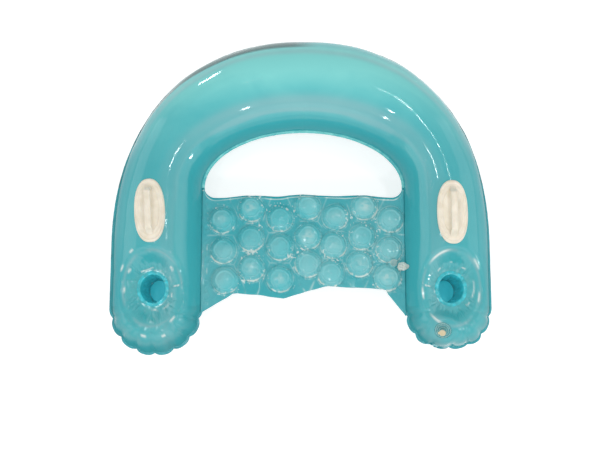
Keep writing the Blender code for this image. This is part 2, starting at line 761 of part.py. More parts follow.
def seat_film(name, up, where):
    """One film of the seat: its plan is triangulated round every weld, then blown out into bubbles."""
    points, edges = [], []

    def add_loop(loop):
        first = len(points)
        points.extend(loop)
        for index in range(len(loop)):
            edges.append((first + index, first + (index + 1) % len(loop)))

    add_loop(seat_outline())
    for fold in (-SEAT_FOLD, SEAT_FOLD):
        edges.append((len(points), len(points) + 1))
        points.extend([(fold, SEAT_TIP_Y), (fold, INNER_START_Y)])
    for centre in bubble_centres():
        for share in BUBBLE_RING_SHARES:
            add_loop(circle_points(centre, BUBBLE_RADIUS * share, BUBBLE_SIDES))
        points.append(centre)
    for radius in (POCKET_RADIUS, POCKET_TOP_RADIUS):
        add_loop(circle_points(pocket_centre(), radius, BUBBLE_SIDES))
    plan = [Vector(point) for point in points]
    plan, _, faces, _, _, _ = delaunay_2d_cdt(plan, edges, [], 1, MERGE_DISTANCE)
    bm = bmesh.new()
    verts = []
    for spot in plan:
        height = SEAM_HEIGHT + seat_height(spot.x, spot.y, up)
        verts.append(bm.verts.new((spot.x, spot.y, height)))
    for face in faces:
        corners = [verts[index] for index in face]
        bm.faces.new(corners if up > 0 else corners[::-1])
    obj = place(bm, name, where, "clear_aqua_vinyl")
    solidify(obj, FILM)
    return obj


def seat_valve_frame():
    """Matrix of the seat valve: origin on the inside of the pocket's top film."""
    x, y = pocket_centre()
    return Matrix.Translation((x, y, SEAM_HEIGHT + seat_height(x, y, 1)))


# Valves


def turned(name, profile, closed, where, finish_name, matrix):
    """A turned piece: a profile in the XZ plane, outer side downward, with a Screw modifier."""
    bm = bmesh.new()
    verts = [bm.verts.new((radius, 0.0, height)) for radius, height in profile]
    for first, second in zip(verts, verts[1:]):
        bm.edges.new((first, second))
    if closed:
        bm.edges.new((verts[-1], verts[0]))
    obj = place(bm, name, where, finish_name, matrix)
    made = obj.modifiers.new("turned", "SCREW")
    made.axis = "Z"
    made.steps = VALVE_SIDES
    made.render_steps = VALVE_SIDES
    made.use_merge_vertices = True
    made.merge_threshold = MERGE_DISTANCE
    return obj


def hang(obj, name, frame, where):
    """Parent a turned piece to an empty on its hinge, whose Y is the hinge's axis."""
    pivot = bpy.data.objects.new(name, None)
    where.objects.link(pivot)
    pivot.matrix_world = frame
    world = obj.matrix_world.copy()
    obj.parent = pivot
    obj.matrix_parent_inverse = frame.inverted()
    obj.matrix_world = world


def cut_bore(target, name, radius, reach, matrix, helpers):
    """Cut a round hole through a film about a valve's axis."""
    bm = bmesh.new()
    bmesh.ops.create_cone(
        bm, cap_ends=True, segments=VALVE_SIDES, radius1=radius, radius2=radius, depth=2 * reach
    )
    cutter = hide_cutter(place(bm, name, helpers, "clear_moulding", matrix))
    boolean(target, cutter, "DIFFERENCE")


def plug_tab(name, sizes, helpers, matrix):
    """The strap of a plug, from inside its cap to a round end on the hinge."""
    half = sizes["cap_thickness"] / 2
    reach, sides = sizes["hinge_offset"] - sizes["stem_radius"], VALVE_SIDES // 2
    outline = [(reach, -half), (reach, half)]
    for step in range(sides + 1):
        angle = math.pi / 2 + math.pi * step / sides
        outline.append((half * math.cos(angle), half * math.sin(angle)))
    bm = bmesh.new()
    width = sizes["tab_width"] / 2
    face = bm.faces.new([bm.verts.new((x, -width, z)) for x, z in outline])
    grown = bmesh.ops.extrude_face_region(bm, geom=[face])
    moved = [item for item in grown["geom"] if isinstance(item, bmesh.types.BMVert)]
    bmesh.ops.translate(bm, vec=(0.0, 2 * width, 0.0), verts=moved)
    bmesh.ops.recalc_face_normals(bm, faces=bm.faces)
    return hide_cutter(place(bm, name, helpers, "ivory_plug", matrix))


def valve(prefix, sizes, film, matrix, where, helpers):
    """A push-in air valve: flanged base, sliding stem, hinged plug and the check flap inside."""
    bore = sizes["stem_radius"] + RUNNING_GAP
    collar = bore + sizes["collar_wall"]
    seat = FILM + WELD_GAP
    top = seat + sizes["flange_thickness"]
    boss_top = top + sizes["boss_height"]
    base = (
        (bore, boss_top),
        (sizes["boss_radius"], boss_top),
        (sizes["boss_radius"], top),
        (sizes["flange_radius"], top),
        (sizes["flange_radius"], seat),
        (collar, seat),
        (collar, -sizes["collar_depth"]),
        (bore, -sizes["collar_depth"]),
    )
    turned(f"{prefix}_base", base, True, where, "clear_moulding", matrix)
    cut_bore(
        film,
        f"{prefix}_film_hole",
        collar + CUT_CLEARANCE,
        sizes["collar_depth"] + CUT_OVERRUN,
        matrix,
        helpers,
    )
    inside = sizes["stem_radius"] - sizes["stem_wall"]
    rim = boss_top + sizes["stem_rise"] + sizes["push"]
    stem = (
        (inside, rim),
        (sizes["stem_radius"], rim),
        (sizes["stem_radius"], -sizes["stem_depth"]),
        (inside, -sizes["stem_depth"]),
    )
    turned(f"{prefix}_stem", stem, True, where, "clear_moulding", matrix)
    hinge_height = rim + PLUG_GAP + sizes["cap_thickness"] / 2
    half = sizes["cap_thickness"] / 2
    offset = sizes["hinge_offset"]
    reach = offset + inside - PLUG_GAP
    tip = half + PLUG_GAP + sizes["shank_length"]
    plug = (
        (0.0, half),
        (sizes["cap_radius"], half),
        (sizes["cap_radius"], -half),
        (math.sqrt(reach**2 - half**2) - offset, -half),
        (math.sqrt(reach**2 - tip**2) - offset, -tip),
        (0.0, -tip),
    )
    cap_frame = matrix @ Matrix.Translation((0.0, 0.0, hinge_height))
    hinge_frame = matrix @ Matrix.Translation((-offset, 0.0, hinge_height))
    tab = plug_tab(f"{prefix}_plug_tab", sizes, helpers, hinge_frame)
    cap = turned(f"{prefix}_plug", plug, False, where, "ivory_plug", cap_frame)
    boolean(cap, tab, "UNION")
    hang(cap, f"{prefix}_plug_hinge", hinge_frame, where)
    flap_low = -sizes["stem_depth"] - PLUG_GAP - sizes["flap_thickness"]
    flap = (
        (0.0, sizes["flap_thickness"]),
        (sizes["stem_radius"], sizes["flap_thickness"]),
        (sizes["stem_radius"], 0.0),
        (0.0, 0.0),
    )
    flap_frame = matrix @ Matrix.Translation((0.0, 0.0, flap_low))
    disc = turned(f"{prefix}_flap", flap, False, where, "clear_moulding", flap_frame)
    edge = (-sizes["stem_radius"], 0.0, sizes["flap_thickness"])
    hang(disc, f"{prefix}_flap_hinge", flap_frame @ Matrix.Translation(edge), where)


def build():
    """Model the whole chair."""
    clear_scene()
    parts = collection("pool_chair")
    helpers = collection("cutters")
    ring_top = ring_film("ring_top_sheet", 1, parts)
    ring_film("ring_bottom_sheet", -1, parts)
    seat_top = seat_film("seat_top_sheet", 1, parts)
    seat_film("seat_bottom_sheet", -1, parts)
    turns = {"left": math.radians(LEFT_HANDLE_TURN_DEG), "right": 0.0}
    for word, side in (("left", -1), ("right", 1)):
        cup_sleeve(f"cup_sleeve_{word}", side, parts)
        cup_floor(f"cup_floor_{word}", side, parts)
        grab_handle(f"grab_handle_{word}", side, turns[word], parts, helpers)
    valve("main_valve", MAIN_VALVE, ring_top, valve_frame(), parts, helpers)
    valve("seat_valve", SEAT_VALVE, seat_top, seat_valve_frame(), parts, helpers)


build()
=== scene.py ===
"""Looks of the inflatable pool chair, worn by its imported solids.

The air ring, the bubble seat, the cups and the handles are surfaces worked out with numpy on the
same plan as the solids, in metres, with the seat's front towards -Y and the backrest towards +Y.
"""
import json
import math

import bpy
import numpy as np
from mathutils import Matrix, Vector

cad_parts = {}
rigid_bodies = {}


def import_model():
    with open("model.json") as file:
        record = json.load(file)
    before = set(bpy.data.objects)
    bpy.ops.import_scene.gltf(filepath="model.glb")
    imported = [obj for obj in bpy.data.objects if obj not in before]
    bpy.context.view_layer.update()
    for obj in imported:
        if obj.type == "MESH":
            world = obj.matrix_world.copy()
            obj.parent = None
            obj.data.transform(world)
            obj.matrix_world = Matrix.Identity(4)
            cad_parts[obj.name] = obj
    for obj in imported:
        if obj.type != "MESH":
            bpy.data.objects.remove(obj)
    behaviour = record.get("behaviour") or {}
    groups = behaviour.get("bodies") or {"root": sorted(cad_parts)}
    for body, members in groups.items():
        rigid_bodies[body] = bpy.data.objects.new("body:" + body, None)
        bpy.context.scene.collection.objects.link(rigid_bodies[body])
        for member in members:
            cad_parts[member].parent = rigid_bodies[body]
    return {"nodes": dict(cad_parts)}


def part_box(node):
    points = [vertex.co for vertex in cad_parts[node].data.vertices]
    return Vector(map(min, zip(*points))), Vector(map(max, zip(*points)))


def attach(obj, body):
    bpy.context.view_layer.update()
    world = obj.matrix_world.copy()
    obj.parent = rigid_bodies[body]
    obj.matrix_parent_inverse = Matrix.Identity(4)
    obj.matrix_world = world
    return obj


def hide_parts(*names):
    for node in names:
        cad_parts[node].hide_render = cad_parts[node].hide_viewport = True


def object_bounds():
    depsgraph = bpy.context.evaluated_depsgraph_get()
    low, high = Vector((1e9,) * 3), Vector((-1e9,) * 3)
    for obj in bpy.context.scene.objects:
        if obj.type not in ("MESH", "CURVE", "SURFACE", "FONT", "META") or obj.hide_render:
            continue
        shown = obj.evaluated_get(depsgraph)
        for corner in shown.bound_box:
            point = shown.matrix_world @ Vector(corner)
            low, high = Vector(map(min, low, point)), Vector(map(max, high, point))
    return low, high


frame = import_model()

bl_info = {
    "name": "Inflatable pool chair",
    "version": (1, 0, 0),
    "blender": (4, 5, 0),
    "location": "3D View > Sidebar > Pool chair",
    "description": "Dresses the packed pool chair: vinyl films, bubble seat, cups, handles and valves",
    "category": "Object",
}


def plan_centre(low, high):
    """Plan centre of a box, from its two corners."""
    return (low.x + high.x) / 2, (low.y + high.y) / 2


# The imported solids' own places
CAD_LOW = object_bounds()[0]
RING_LOW, RING_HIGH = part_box("ring_top_sheet")
SEAM_HEIGHT = RING_LOW.z
HALF_WIDTH = RING_HIGH.x
BACK_Y = RING_HIGH.y
CUP_Y = plan_centre(*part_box("cup_sleeve_right"))[1]
HANDLE_X, HANDLE_Y = plan_centre(*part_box("grab_handle_right"))
VALVE_LOW, VALVE_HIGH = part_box("main_valve_base")
VALVE_X, VALVE_Y = plan_centre(VALVE_LOW, VALVE_HIGH)
VALVE_REACH = (VALVE_HIGH.x - VALVE_LOW.x) / 2
SEAT_VALVE_X, SEAT_VALVE_Y = plan_centre(*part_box("seat_valve_base"))
SEAT_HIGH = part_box("seat_top_sheet")[1]
# The main valve's flange: a point of its axis, just over the film, and the axis itself
VALVE_SPOT = (0.370072, -0.376242, 0.190086)
VALVE_NORMAL = (-0.25272, -0.39715, 0.88227)

# Plan of the ring
MM = 0.001
SEAM_FLANGE = 7 * MM
ARM_WIDTH = 245 * MM
BACK_WIDTH = 263.4 * MM
OUTER_RISE = 581 * MM
INNER_RISE = 155.4 * MM
OUTER_POWER = 2.25
INNER_EDGE = HALF_WIDTH - ARM_WIDTH
POD_X = HALF_WIDTH - ARM_WIDTH / 2
POD_Y = CUP_Y - 45 * MM
OUTER_START_Y = BACK_Y - OUTER_RISE
INNER_START_Y = BACK_Y - BACK_WIDTH - INNER_RISE
ARM_HALF_HEIGHT = 114 * MM
BACK_HALF_HEIGHT = 118 * MM
POD_HALF_HEIGHT = 100 * MM
POD_FALL_TOP = CUP_Y + 145 * MM
POD_FALL_LENGTH = 110 * MM
# How far the seat lies to the right of the ring's middle, and how much of that holds at places across
LEAN = 7.6 * MM
LEAN_PLACES = (0.271, 0.326, 0.455, HALF_WIDTH)
LEAN_SHARES = (1.0, 0.5, 0.5, 0.0)
SCALLOPS = 7
SCALLOP_DEPTH = 7 * MM
SCALLOP_SHARPNESS = 1.5
FLANGE_HALF = 0.35 * MM
REST_SHARPNESS = 350.0

# Cups
CUP_HALF_X, CUP_HALF_Y = 34 * MM, 38.5 * MM
CUP_MOUTH_HEIGHT = 56 * MM
CUP_FLOOR_DROP = 55 * MM
CUP_SEAT_SHARE = 1.38
CUP_DIMPLE_SHARE = 2.9
CREST_HALF_X, CREST_HALF_Y = 77 * MM, 99 * MM
# Painted highlight arcs along each crest, left (-1) and right (1): middle and half-length in degrees
# from the outer side, anticlockwise on the right pod, and how far outwards in mm
CREST_ARCS = {
    -1: (
        (31, 6, -7), (358, 6, -4), (228, 8, 8), (55, 5, 16),
        (28, 6, 14), (141, 7, -14), (281, 6, 24), (251, 4, 28),
    ),
    1: ((116, 27, 0), (187, 12, 0), (237, 20, 1), (346, 11, -3), (38, 12, 6)),
}
# Profile by the floor: share of the wall's foot, and mm further out and mm over the floor
CUP_FLOOR_PROFILE = (
    (0.0, 0.0, 1.1), (0.5, 0.0, 1.0), (0.80, 0.0, 0.8), (0.86, 0.0, 0.9),
    (0.885, 0.0, 0.8), (0.90, 0.0, 0.3), (0.955, 0.0, 0.1), (1.0, -0.4, 0.4),
)
CUP_UNDERSIDE_PROFILE = ((1.0, 0.4, -0.4), (1.0, -0.4, -0.7), (0.0, 0.0, -0.7))
# Profile of the lip: mm outwards from the mouth and mm over it
CUP_LIP_PROFILE = (
    (-0.2, 0.6), (0.8, 2.0), (2.6, 2.5), (5.0, 1.6), (7.5, 1.1),
    (9.2, 0.9), (9.5, 0.5), (9.2, 0.0), (0.4, -0.2),
)
# How far the wall stands in from the well's mouth, at the top and at the floor
CUP_MOUTH_INSET, CUP_FOOT_INSET = 0.8 * MM, 5.4 * MM
CUP_PLEAT_DEPTH, CUP_RUFFLE = 3.2 * MM, 1.6 * MM
CUP_WALL_STEPS, CUP_FLOOR_BANDS, CUP_TURN_STEPS = 20, 5, 144

# Seat
SEAT_SAG = 20 * MM
SEAT_LAP = 1.4 * MM
SEAT_EDGE = SEAT_HIGH.x - 0.2 * MM
SEAT_FOLD = INNER_EDGE - 3 * MM
SEAT_CORNER_RADIUS = 25 * MM
SEAT_BACK_Y = INNER_START_Y - SEAT_CORNER_RADIUS
SEAT_DEPTH = 260 * MM
SEAT_FRONT_Y = SEAT_BACK_Y - SEAT_DEPTH
SEAT_BACK_BOW = 8 * MM
BUBBLE_COLUMNS, BUBBLE_ROWS = 7, 3
BUBBLE_PITCH_X, BUBBLE_PITCH_Y = 76.5 * MM, 80 * MM
BUBBLE_STAGGER = 34.5 * MM
BUBBLE_FIRST_ROW = 27 * MM
BUBBLE_SHIFT_X = 4 * MM
# How far each bubble stands from its even place, in mm, down each column
BUBBLE_DRIFT = (
    ((4, -2), (7, -5), (13, -7)),
    ((5, -3), (6, -6), (7, -7)),
    ((8, 4), (9, 5), (9, -3)),
    ((9, 3), (9, 1), (9, 4)),
    ((7, 9), (2, 10), (-5, 12)),
    ((11, 1), (4, -1), (-4, 4)),
    ((5, 0), (1, -3), (-5, 0)),
)
# The front edge: places across and how far each lies behind the seat's front, in mm
FRONT_EDGE = (
    (-300, -66), (-281, -65), (-184, -5), (-172, -4), (-100, -10), (-46, -17), (-38, -15), (20, 4),
    (66, 14), (78, 15), (150, 11), (222, 7), (232, 4), (238, -8), (285, -67), (300, -68),
)
POCKET_RADIUS, POCKET_TOP_RADIUS = 13.2 * MM, 10.8 * MM
POCKET_HEIGHT = 8.6 * MM

# Handles
HANDLE_HALF_X, HANDLE_HALF_Y = 41 * MM, 84 * MM
HANDLE_POWER = 2.35
# How far each handle is welded from its even place, in mm
HANDLE_NUDGE = {"left": (0.0, 4.0), "right": (-5.0, 0.0)}
LEFT_HANDLE_TURN = math.radians(3.6)
GRIP_HALF_LENGTH = 67 * MM
GRIP_HALF_WIDTH = 8.2 * MM
GRIP_CLEARANCE = 20 * MM
GRIP_THICKNESS = 6 * MM
GRIP_BOXINESS = 0.62
GRIP_CROWN = 0.8 * MM
GRIP_ROWS, GRIP_TURN_STEPS, PLATE_TURN_STEPS = 90, 36, 160

# The crumpled film beside the seat valve: its middle from the valve, its half-sizes and its rings
SKIRT_SHIFT_X, SKIRT_SHIFT_Y = 25 * MM, -12 * MM
SKIRT_HALF_X, SKIRT_HALF_Y = 15 * MM, 11 * MM
SKIRT_RINGS, SKIRT_UNDER_RINGS, SKIRT_TURN_STEPS = 30, 12, 96

# Grid steps of the fine surfaces
ARM_ROWS, BACK_ROWS = 40, 170
TOP_COLUMNS, BOTTOM_COLUMNS = 72, 22
POD_SIDE_STEPS, STEPS_PER_SCALLOP = 22, 22
TOP_POD_RINGS, BOTTOM_POD_RINGS = 42, 12
WELL_ROWS, WELL_TAPER = 8, 0.87
FLANGE_STEPS = 4
SEAT_COLUMNS, SEAT_ROWS = 400, 200

# Materials of the ring's skin, in the order of their tags
TOP_FILM, FLANGE, UNDER_FILM, INNER_BAND, FRONT_BAND = range(5)
# Colours that no setting holds
# Tints of painted light on the ring's film: a painted reflection, a painted dark shade strip and painted
# glints
PAINTED_LIGHT_TINTS = {"painted_reflection": "A3C2C6", "shade_strip": "466F6F", "painted_glint": "F0F4EE"}
FRONT_WELD, HANDLE_SHADE, PLUG_SHADE = "2F959F", "E2D9C5", "CDBF9C"
CLEAR_MOULDING, TURNED_CLEAR, TURNED_SHADE = "DCEBE6", "D5E8E3", "57B0B4"
CRUMPLED_CLEAR, CRUMPLED_SHADE = "F2F5EE", "C6DEDA"
FILM_IOR, MOULDING_IOR = 1.53, 1.50


# Small tools


def linear(code):
    """Linear colour of an sRGB hex code."""
    parts = [int(code[at:at + 2], 16) / 255 for at in (0, 2, 4)]
    return tuple(part / 12.92 if part <= 0.04045 else ((part + 0.055) / 1.055) ** 2.4 for part in parts)


def smoothstep(share):
    """3s^2 - 2s^3 of a share held between 0 and 1."""
    share = np.clip(share, 0.0, 1.0)
    return share * share * (3.0 - 2.0 * share)


def rise(value, start, length):
    """Smoothstep of a value: 0 up to start and 1 from a length beyond it."""
    return smoothstep((value - start) / length)


def fall(value, end, length):
    """Smoothstep of a value: 1 up to a length before its end and 0 from there."""
    return smoothstep((end - value) / length)


def bell(distance, width):
    """exp(-(distance / width)^2)."""
    return np.exp(-((distance / width) ** 2))


def bent(share, power):
    """A share from -1 to 1 raised to a power, with its sign kept."""
    return np.sign(share) * np.abs(share) ** power


def full_turn(steps):
    """Angles once round, without the last, which is the first again."""
    return np.linspace(0.0, 2 * math.pi, steps, endpoint=False)


def lattice(across, along, seed):
    """Seeded value from -1 to 1 at whole-number lattice points, by integer mixing."""
    mixed = across.astype(np.int64) * 374761393 + along.astype(np.int64) * 668265263 + seed * 1442695041
    mixed = (mixed ^ (mixed >> 13)) & 0xFFFFFFFF
    mixed = (mixed * 1274126177) & 0xFFFFFFFF
    return ((mixed ^ (mixed >> 16)) & 0xFFFF) / 32767.5 - 1.0


def noise(across, along, seed):
    """Smooth value noise: lattice values blended by smoothstep in both directions."""
    across, along = np.broadcast_arrays(np.asarray(across, float), np.asarray(along, float))
    low_a, low_b = np.floor(across), np.floor(along)
    part_a, part_b = smoothstep(across - low_a), smoothstep(along - low_b)
    first = lattice(low_a, low_b, seed) * (1 - part_a) + lattice(low_a + 1, low_b, seed) * part_a
    second = lattice(low_a, low_b + 1, seed) * (1 - part_a) + lattice(low_a + 1, low_b + 1, seed) * part_a
    return first * (1 - part_b) + second * part_b


def folds(across, along, seed):
    """Sharp-edged folds from -1 to 1: 1 - 2 * sqrt(|noise|), which is a crest along each zero line."""
    return 1.0 - 2.0 * np.sqrt(np.abs(noise(across, along, seed)))


def patches(x, y, size, seed, kind=noise):
    """Noise or folds in plan, about size millimetres from one to the next."""
    return kind(x / (size * MM), y / (size * MM), seed)


def grid_triangles(rows, columns, first=0, closed=False):
    """Two triangles for each cell of a grid of points numbered row by row."""
    cells_across = columns if closed else columns - 1
    row, column = np.meshgrid(np.arange(rows - 1), np.arange(cells_across), indexing="ij")
    after = (column + 1) % columns
    a, b = first + row * columns + column, first + row * columns + after
    c, d = b + columns, a + columns
    cells = np.stack([a, b, c, a, c, d], axis=-1)
    return cells.reshape(-1, 3)


def weld(points, triangles, tags, tolerance=2e-7):
    """Merge points that fall together, and drop triangles that lose a corner or lie back to back."""
    keys = np.round(points / tolerance).astype(np.int64)
    _, kept, place = np.unique(keys, axis=0, return_index=True, return_inverse=True)
    triangles = place.reshape(-1)[triangles]
    whole = (
        (triangles[:, 0] != triangles[:, 1])
        & (triangles[:, 1] != triangles[:, 2])
        & (triangles[:, 2] != triangles[:, 0])
    )
    triangles, tags = triangles[whole], tags[whole]
    _, name, copies = np.unique(np.sort(triangles, axis=1), axis=0, return_inverse=True, return_counts=True)
    single = copies[name.reshape(-1)] == 1
    return points[kept], triangles[single], tags[single]


def point_normals(points, triangles):
    """Area-weighted unit normal at each point."""
    corners = points[triangles]
    facing = np.cross(corners[:, 1] - corners[:, 0], corners[:, 2] - corners[:, 0])
    normals = np.zeros_like(points)
    for corner in range(3):
        np.add.at(normals, triangles[:, corner], facing)
    return normals / np.maximum(np.linalg.norm(normals, axis=1, keepdims=True), 1e-12)


def make_piece(name, points, triangles, materials, tags=None, attributes=None):
    """A smooth-shaded object at the origin from arrays of points and triangles."""
    mesh = bpy.data.meshes.new(name)
    mesh.vertices.add(len(points))
    mesh.vertices.foreach_set("co", np.asarray(points, np.float32).ravel())
    mesh.loops.add(3 * len(triangles))
    mesh.loops.foreach_set("vertex_index", np.asarray(triangles, np.int32).ravel())
    mesh.polygons.add(len(triangles))
    mesh.polygons.foreach_set("loop_start", np.arange(0, 3 * len(triangles), 3, dtype=np.int32))
    if tags is not None:
        mesh.polygons.foreach_set("material_index", np.asarray(tags, np.int32))
    for material in materials:
        mesh.materials.append(material)
    mesh.update(calc_edges=True)
    if mesh.validate():
        raise RuntimeError(f"{name} has faces that had to be mended")
    mesh.shade_smooth()
    for label, values in (attributes or {}).items():
        layer = mesh.attributes.new(label, "FLOAT", "POINT")
        layer.data.foreach_set("value", np.asarray(values, np.float32))
    piece = bpy.data.objects.new(name, mesh)
    bpy.context.scene.collection.objects.link(piece)
    return piece


def closed_piece(name, grid, materials, tags=None, flipped=False):
    """A piece from a grid of points whose rows close on themselves, welded."""
    faces = grid_triangles(*grid.shape[:2], closed=True)
    tags = np.zeros(len(faces), int) if tags is None else tags
    points, faces, tags = weld(grid.reshape(-1, 3), faces[:, ::-1] if flipped else faces, tags)
    return make_piece(name, points, faces, materials, tags)


def add_node(tree, kind, inputs=None, **options):
    """Add a node, set its options, and set or link its inputs."""
    node = tree.nodes.new(kind)
    for option, value in options.items():
        setattr(node, option, value)
    for name, value in (inputs or {}).items():
        if isinstance(value, bpy.types.NodeSocket):
            tree.links.new(value, node.inputs[name])
        else:
            node.inputs[name].default_value = value
    return node


def new_material(name):
    """An empty node material with its output."""
    material = bpy.data.materials.new(name)
    material.use_nodes = True
    material.node_tree.nodes.clear()
    output = add_node(material.node_tree, "ShaderNodeOutputMaterial")
    return material, material.node_tree, output


def two_tone(tree, low, high, amount):
    """Mix two colours by an amount socket. The first may be a socket too."""
    low = low if isinstance(low, bpy.types.NodeSocket) else (*low, 1.0)
    mix = add_node(tree, "ShaderNodeMix", {0: amount, 6: low, 7: (*high, 1.0)}, data_type="RGBA")
    return mix.outputs[2]


def scaled_noise(tree, size, detail=2.0, roughness=0.5, stretch=(1.0, 1.0, 1.0), distortion=0.0):
    """Noise on Object coordinates whose features are about size metres across, before stretch."""
    where = add_node(tree, "ShaderNodeTexCoord").outputs["Object"]
    turned = add_node(tree, "ShaderNodeMapping", {"Vector": where, "Scale": stretch})
    settings = {
        "Vector": turned.outputs[0],
        "Scale": 1.0 / size,
        "Detail": detail,
        "Roughness": roughness,
        "Distortion": distortion,
    }
    return add_node(tree, "ShaderNodeTexNoise", settings).outputs["Fac"]


def ramp(tree, value, low, high, to_low=0.0, to_high=1.0):
    """Stretch a value from one range to another."""
    settings = {"Value": value, "From Min": low, "From Max": high, "To Min": to_low, "To Max": to_high}
    return add_node(tree, "ShaderNodeMapRange", settings).outputs[0]


def calc(tree, operation, first, second=0.0, clamp=False):
    """One sum on sockets or numbers."""
    inputs = {0: first, 1: second}
    return add_node(tree, "ShaderNodeMath", inputs, operation=operation, use_clamp=clamp).outputs[0]


def share_of(tree, label):
    """The share that the mesh holds at each point under a label."""
    return add_node(tree, "ShaderNodeAttribute", attribute_name=label).outputs["Fac"]


def bump(tree, height, strength, distance, under=None):
    """A normal bent by a height, on top of another bent normal where one is given."""
    inputs = {"Strength": strength, "Distance": distance, "Height": height}
    if under is not None:
        inputs["Normal"] = under
    return add_node(tree, "ShaderNodeBump", inputs).outputs[0]


def add_shader(tree, output, inputs):
    """Add the main shader with its inputs and link it to the output."""
    shader = add_node(tree, "ShaderNodeBsdfPrincipled", inputs)
    tree.links.new(shader.outputs[0], output.inputs["Surface"])


# Settings


def colour_setting(name, description, code):
    """A colour setting that starts at an sRGB hex code."""
    return bpy.props.FloatVectorProperty(
        name=name, description=description, subtype="COLOR", size=3, min=0.0, max=1.0, default=linear(code),
    )


def length_setting(name, description, default):
    """A length setting in metres."""
    return bpy.props.FloatProperty(name=name, description=description, unit="LENGTH", default=default)


class RingSettings(bpy.types.PropertyGroup):
    """Sizes and colours of the air ring's vinyl."""

    clear: colour_setting("Film", "Colour of the clear aqua film", "4ABCC2")
    # The pale film colour is painted light: the lit outer half of the back, its highlight streak and the
    # inner flange's painted highlight
    pale: colour_setting("Pale film", "Colour where the film looks milky", "86E0DC")
    deep: colour_setting("Deep film", "Colour of the bottom film and the shaded sides", "3DB1BB")
    weld: colour_setting("Weld", "Colour of the welded seam flange", "486F72")
    cover: bpy.props.FloatProperty(
        name="Film cover", description="How much the top film hides what is behind it",
        subtype="FACTOR", min=0.0, max=1.0, default=0.84,
    )
    seam_pucker: length_setting("Seam puckers", "Height of the gathers beside the seams", 1.5 * MM)
    scallop_crease: length_setting("Scallop creases", "Depth of the creases from the scallops", 6.0 * MM)
    cup_pleat: length_setting("Cup pleats", "Height of the pleats round a cup", 2.3 * MM)
    cup_crest: length_setting("Cup crest", "Height of the tight crest round each cup's dimple", 3.6 * MM)
    flange_ruffle: length_setting("Flange ruffle", "Height of the waves along the welded flange", 1.3 * MM)
    pod_droop: length_setting("Pod droop", "How much further the left pod reaches than the right", 16 * MM)


class SeatSettings(bpy.types.PropertyGroup):
    """Sizes and colours of the bubble seat."""

    film: colour_setting("Seat film", "Colour of the seat's film", "5CC8CF")
    # The web colour also carries the painted shade on the domes' steep walls
    web: colour_setting("Seat web", "Colour of the welded web between bubbles", "38A7B1")
    # The weld-mark colour is laid on the whitish weld lines and also as painted highlights on the bubbles'
    # rims and tops
    mark: colour_setting("Weld marks", "Colour of the whitish weld lines round the bubbles", "E6F0E8")
    bubble_radius: length_setting("Bubble radius", "Radius of a bubble at its weld", 36.5 * MM)
    bubble_height: length_setting("Bubble height", "Height of a bubble over the web", 17 * MM)
    rim_pucker: length_setting("Rim puckers", "Height of the puckers round a bubble's weld", 2.2 * MM)


class TrimSettings(bpy.types.PropertyGroup):
    """Colours of the cups, handles and valves."""

    cup: colour_setting("Cup", "Colour of the cup's wall and lip", "2FA3AC")
    # The cup floor colour is painted light: brighter than the sheet's own colour, to lift the shaded well
    cup_floor: colour_setting("Cup floor", "Colour of the cup's floor", "40CFDC")
    handle: colour_setting("Handle", "Colour of the moulded handles", "EFE7D7")
    clear: colour_setting("Valve", "Colour of the clear valve mouldings", "8CC2C2")
    plug: colour_setting("Plug", "Colour of the valve plugs", "D3C5A6")


class StageSettings(bpy.types.PropertyGroup):
    """Floor, light and camera."""

    floor: colour_setting("Floor", "Colour of the plain floor", "BEBEBD")
    camera_height: length_setting("Camera height", "Height of the camera over the floor", 2.423)
    camera_tilt: bpy.props.FloatProperty(
        name="Camera tilt", description="Tilt from straight down towards the backrest",
        subtype="ANGLE", default=math.radians(8.1),
    )
    lens: bpy.props.FloatProperty(
        name="Lens", description="Focal length on a 36 mm wide frame", min=1.0, default=51.24,
    )
    sky: bpy.props.FloatProperty(
        name="Sky light", description="Strength of the even light from all round", min=0.0, default=0.55,
    )


# Materials


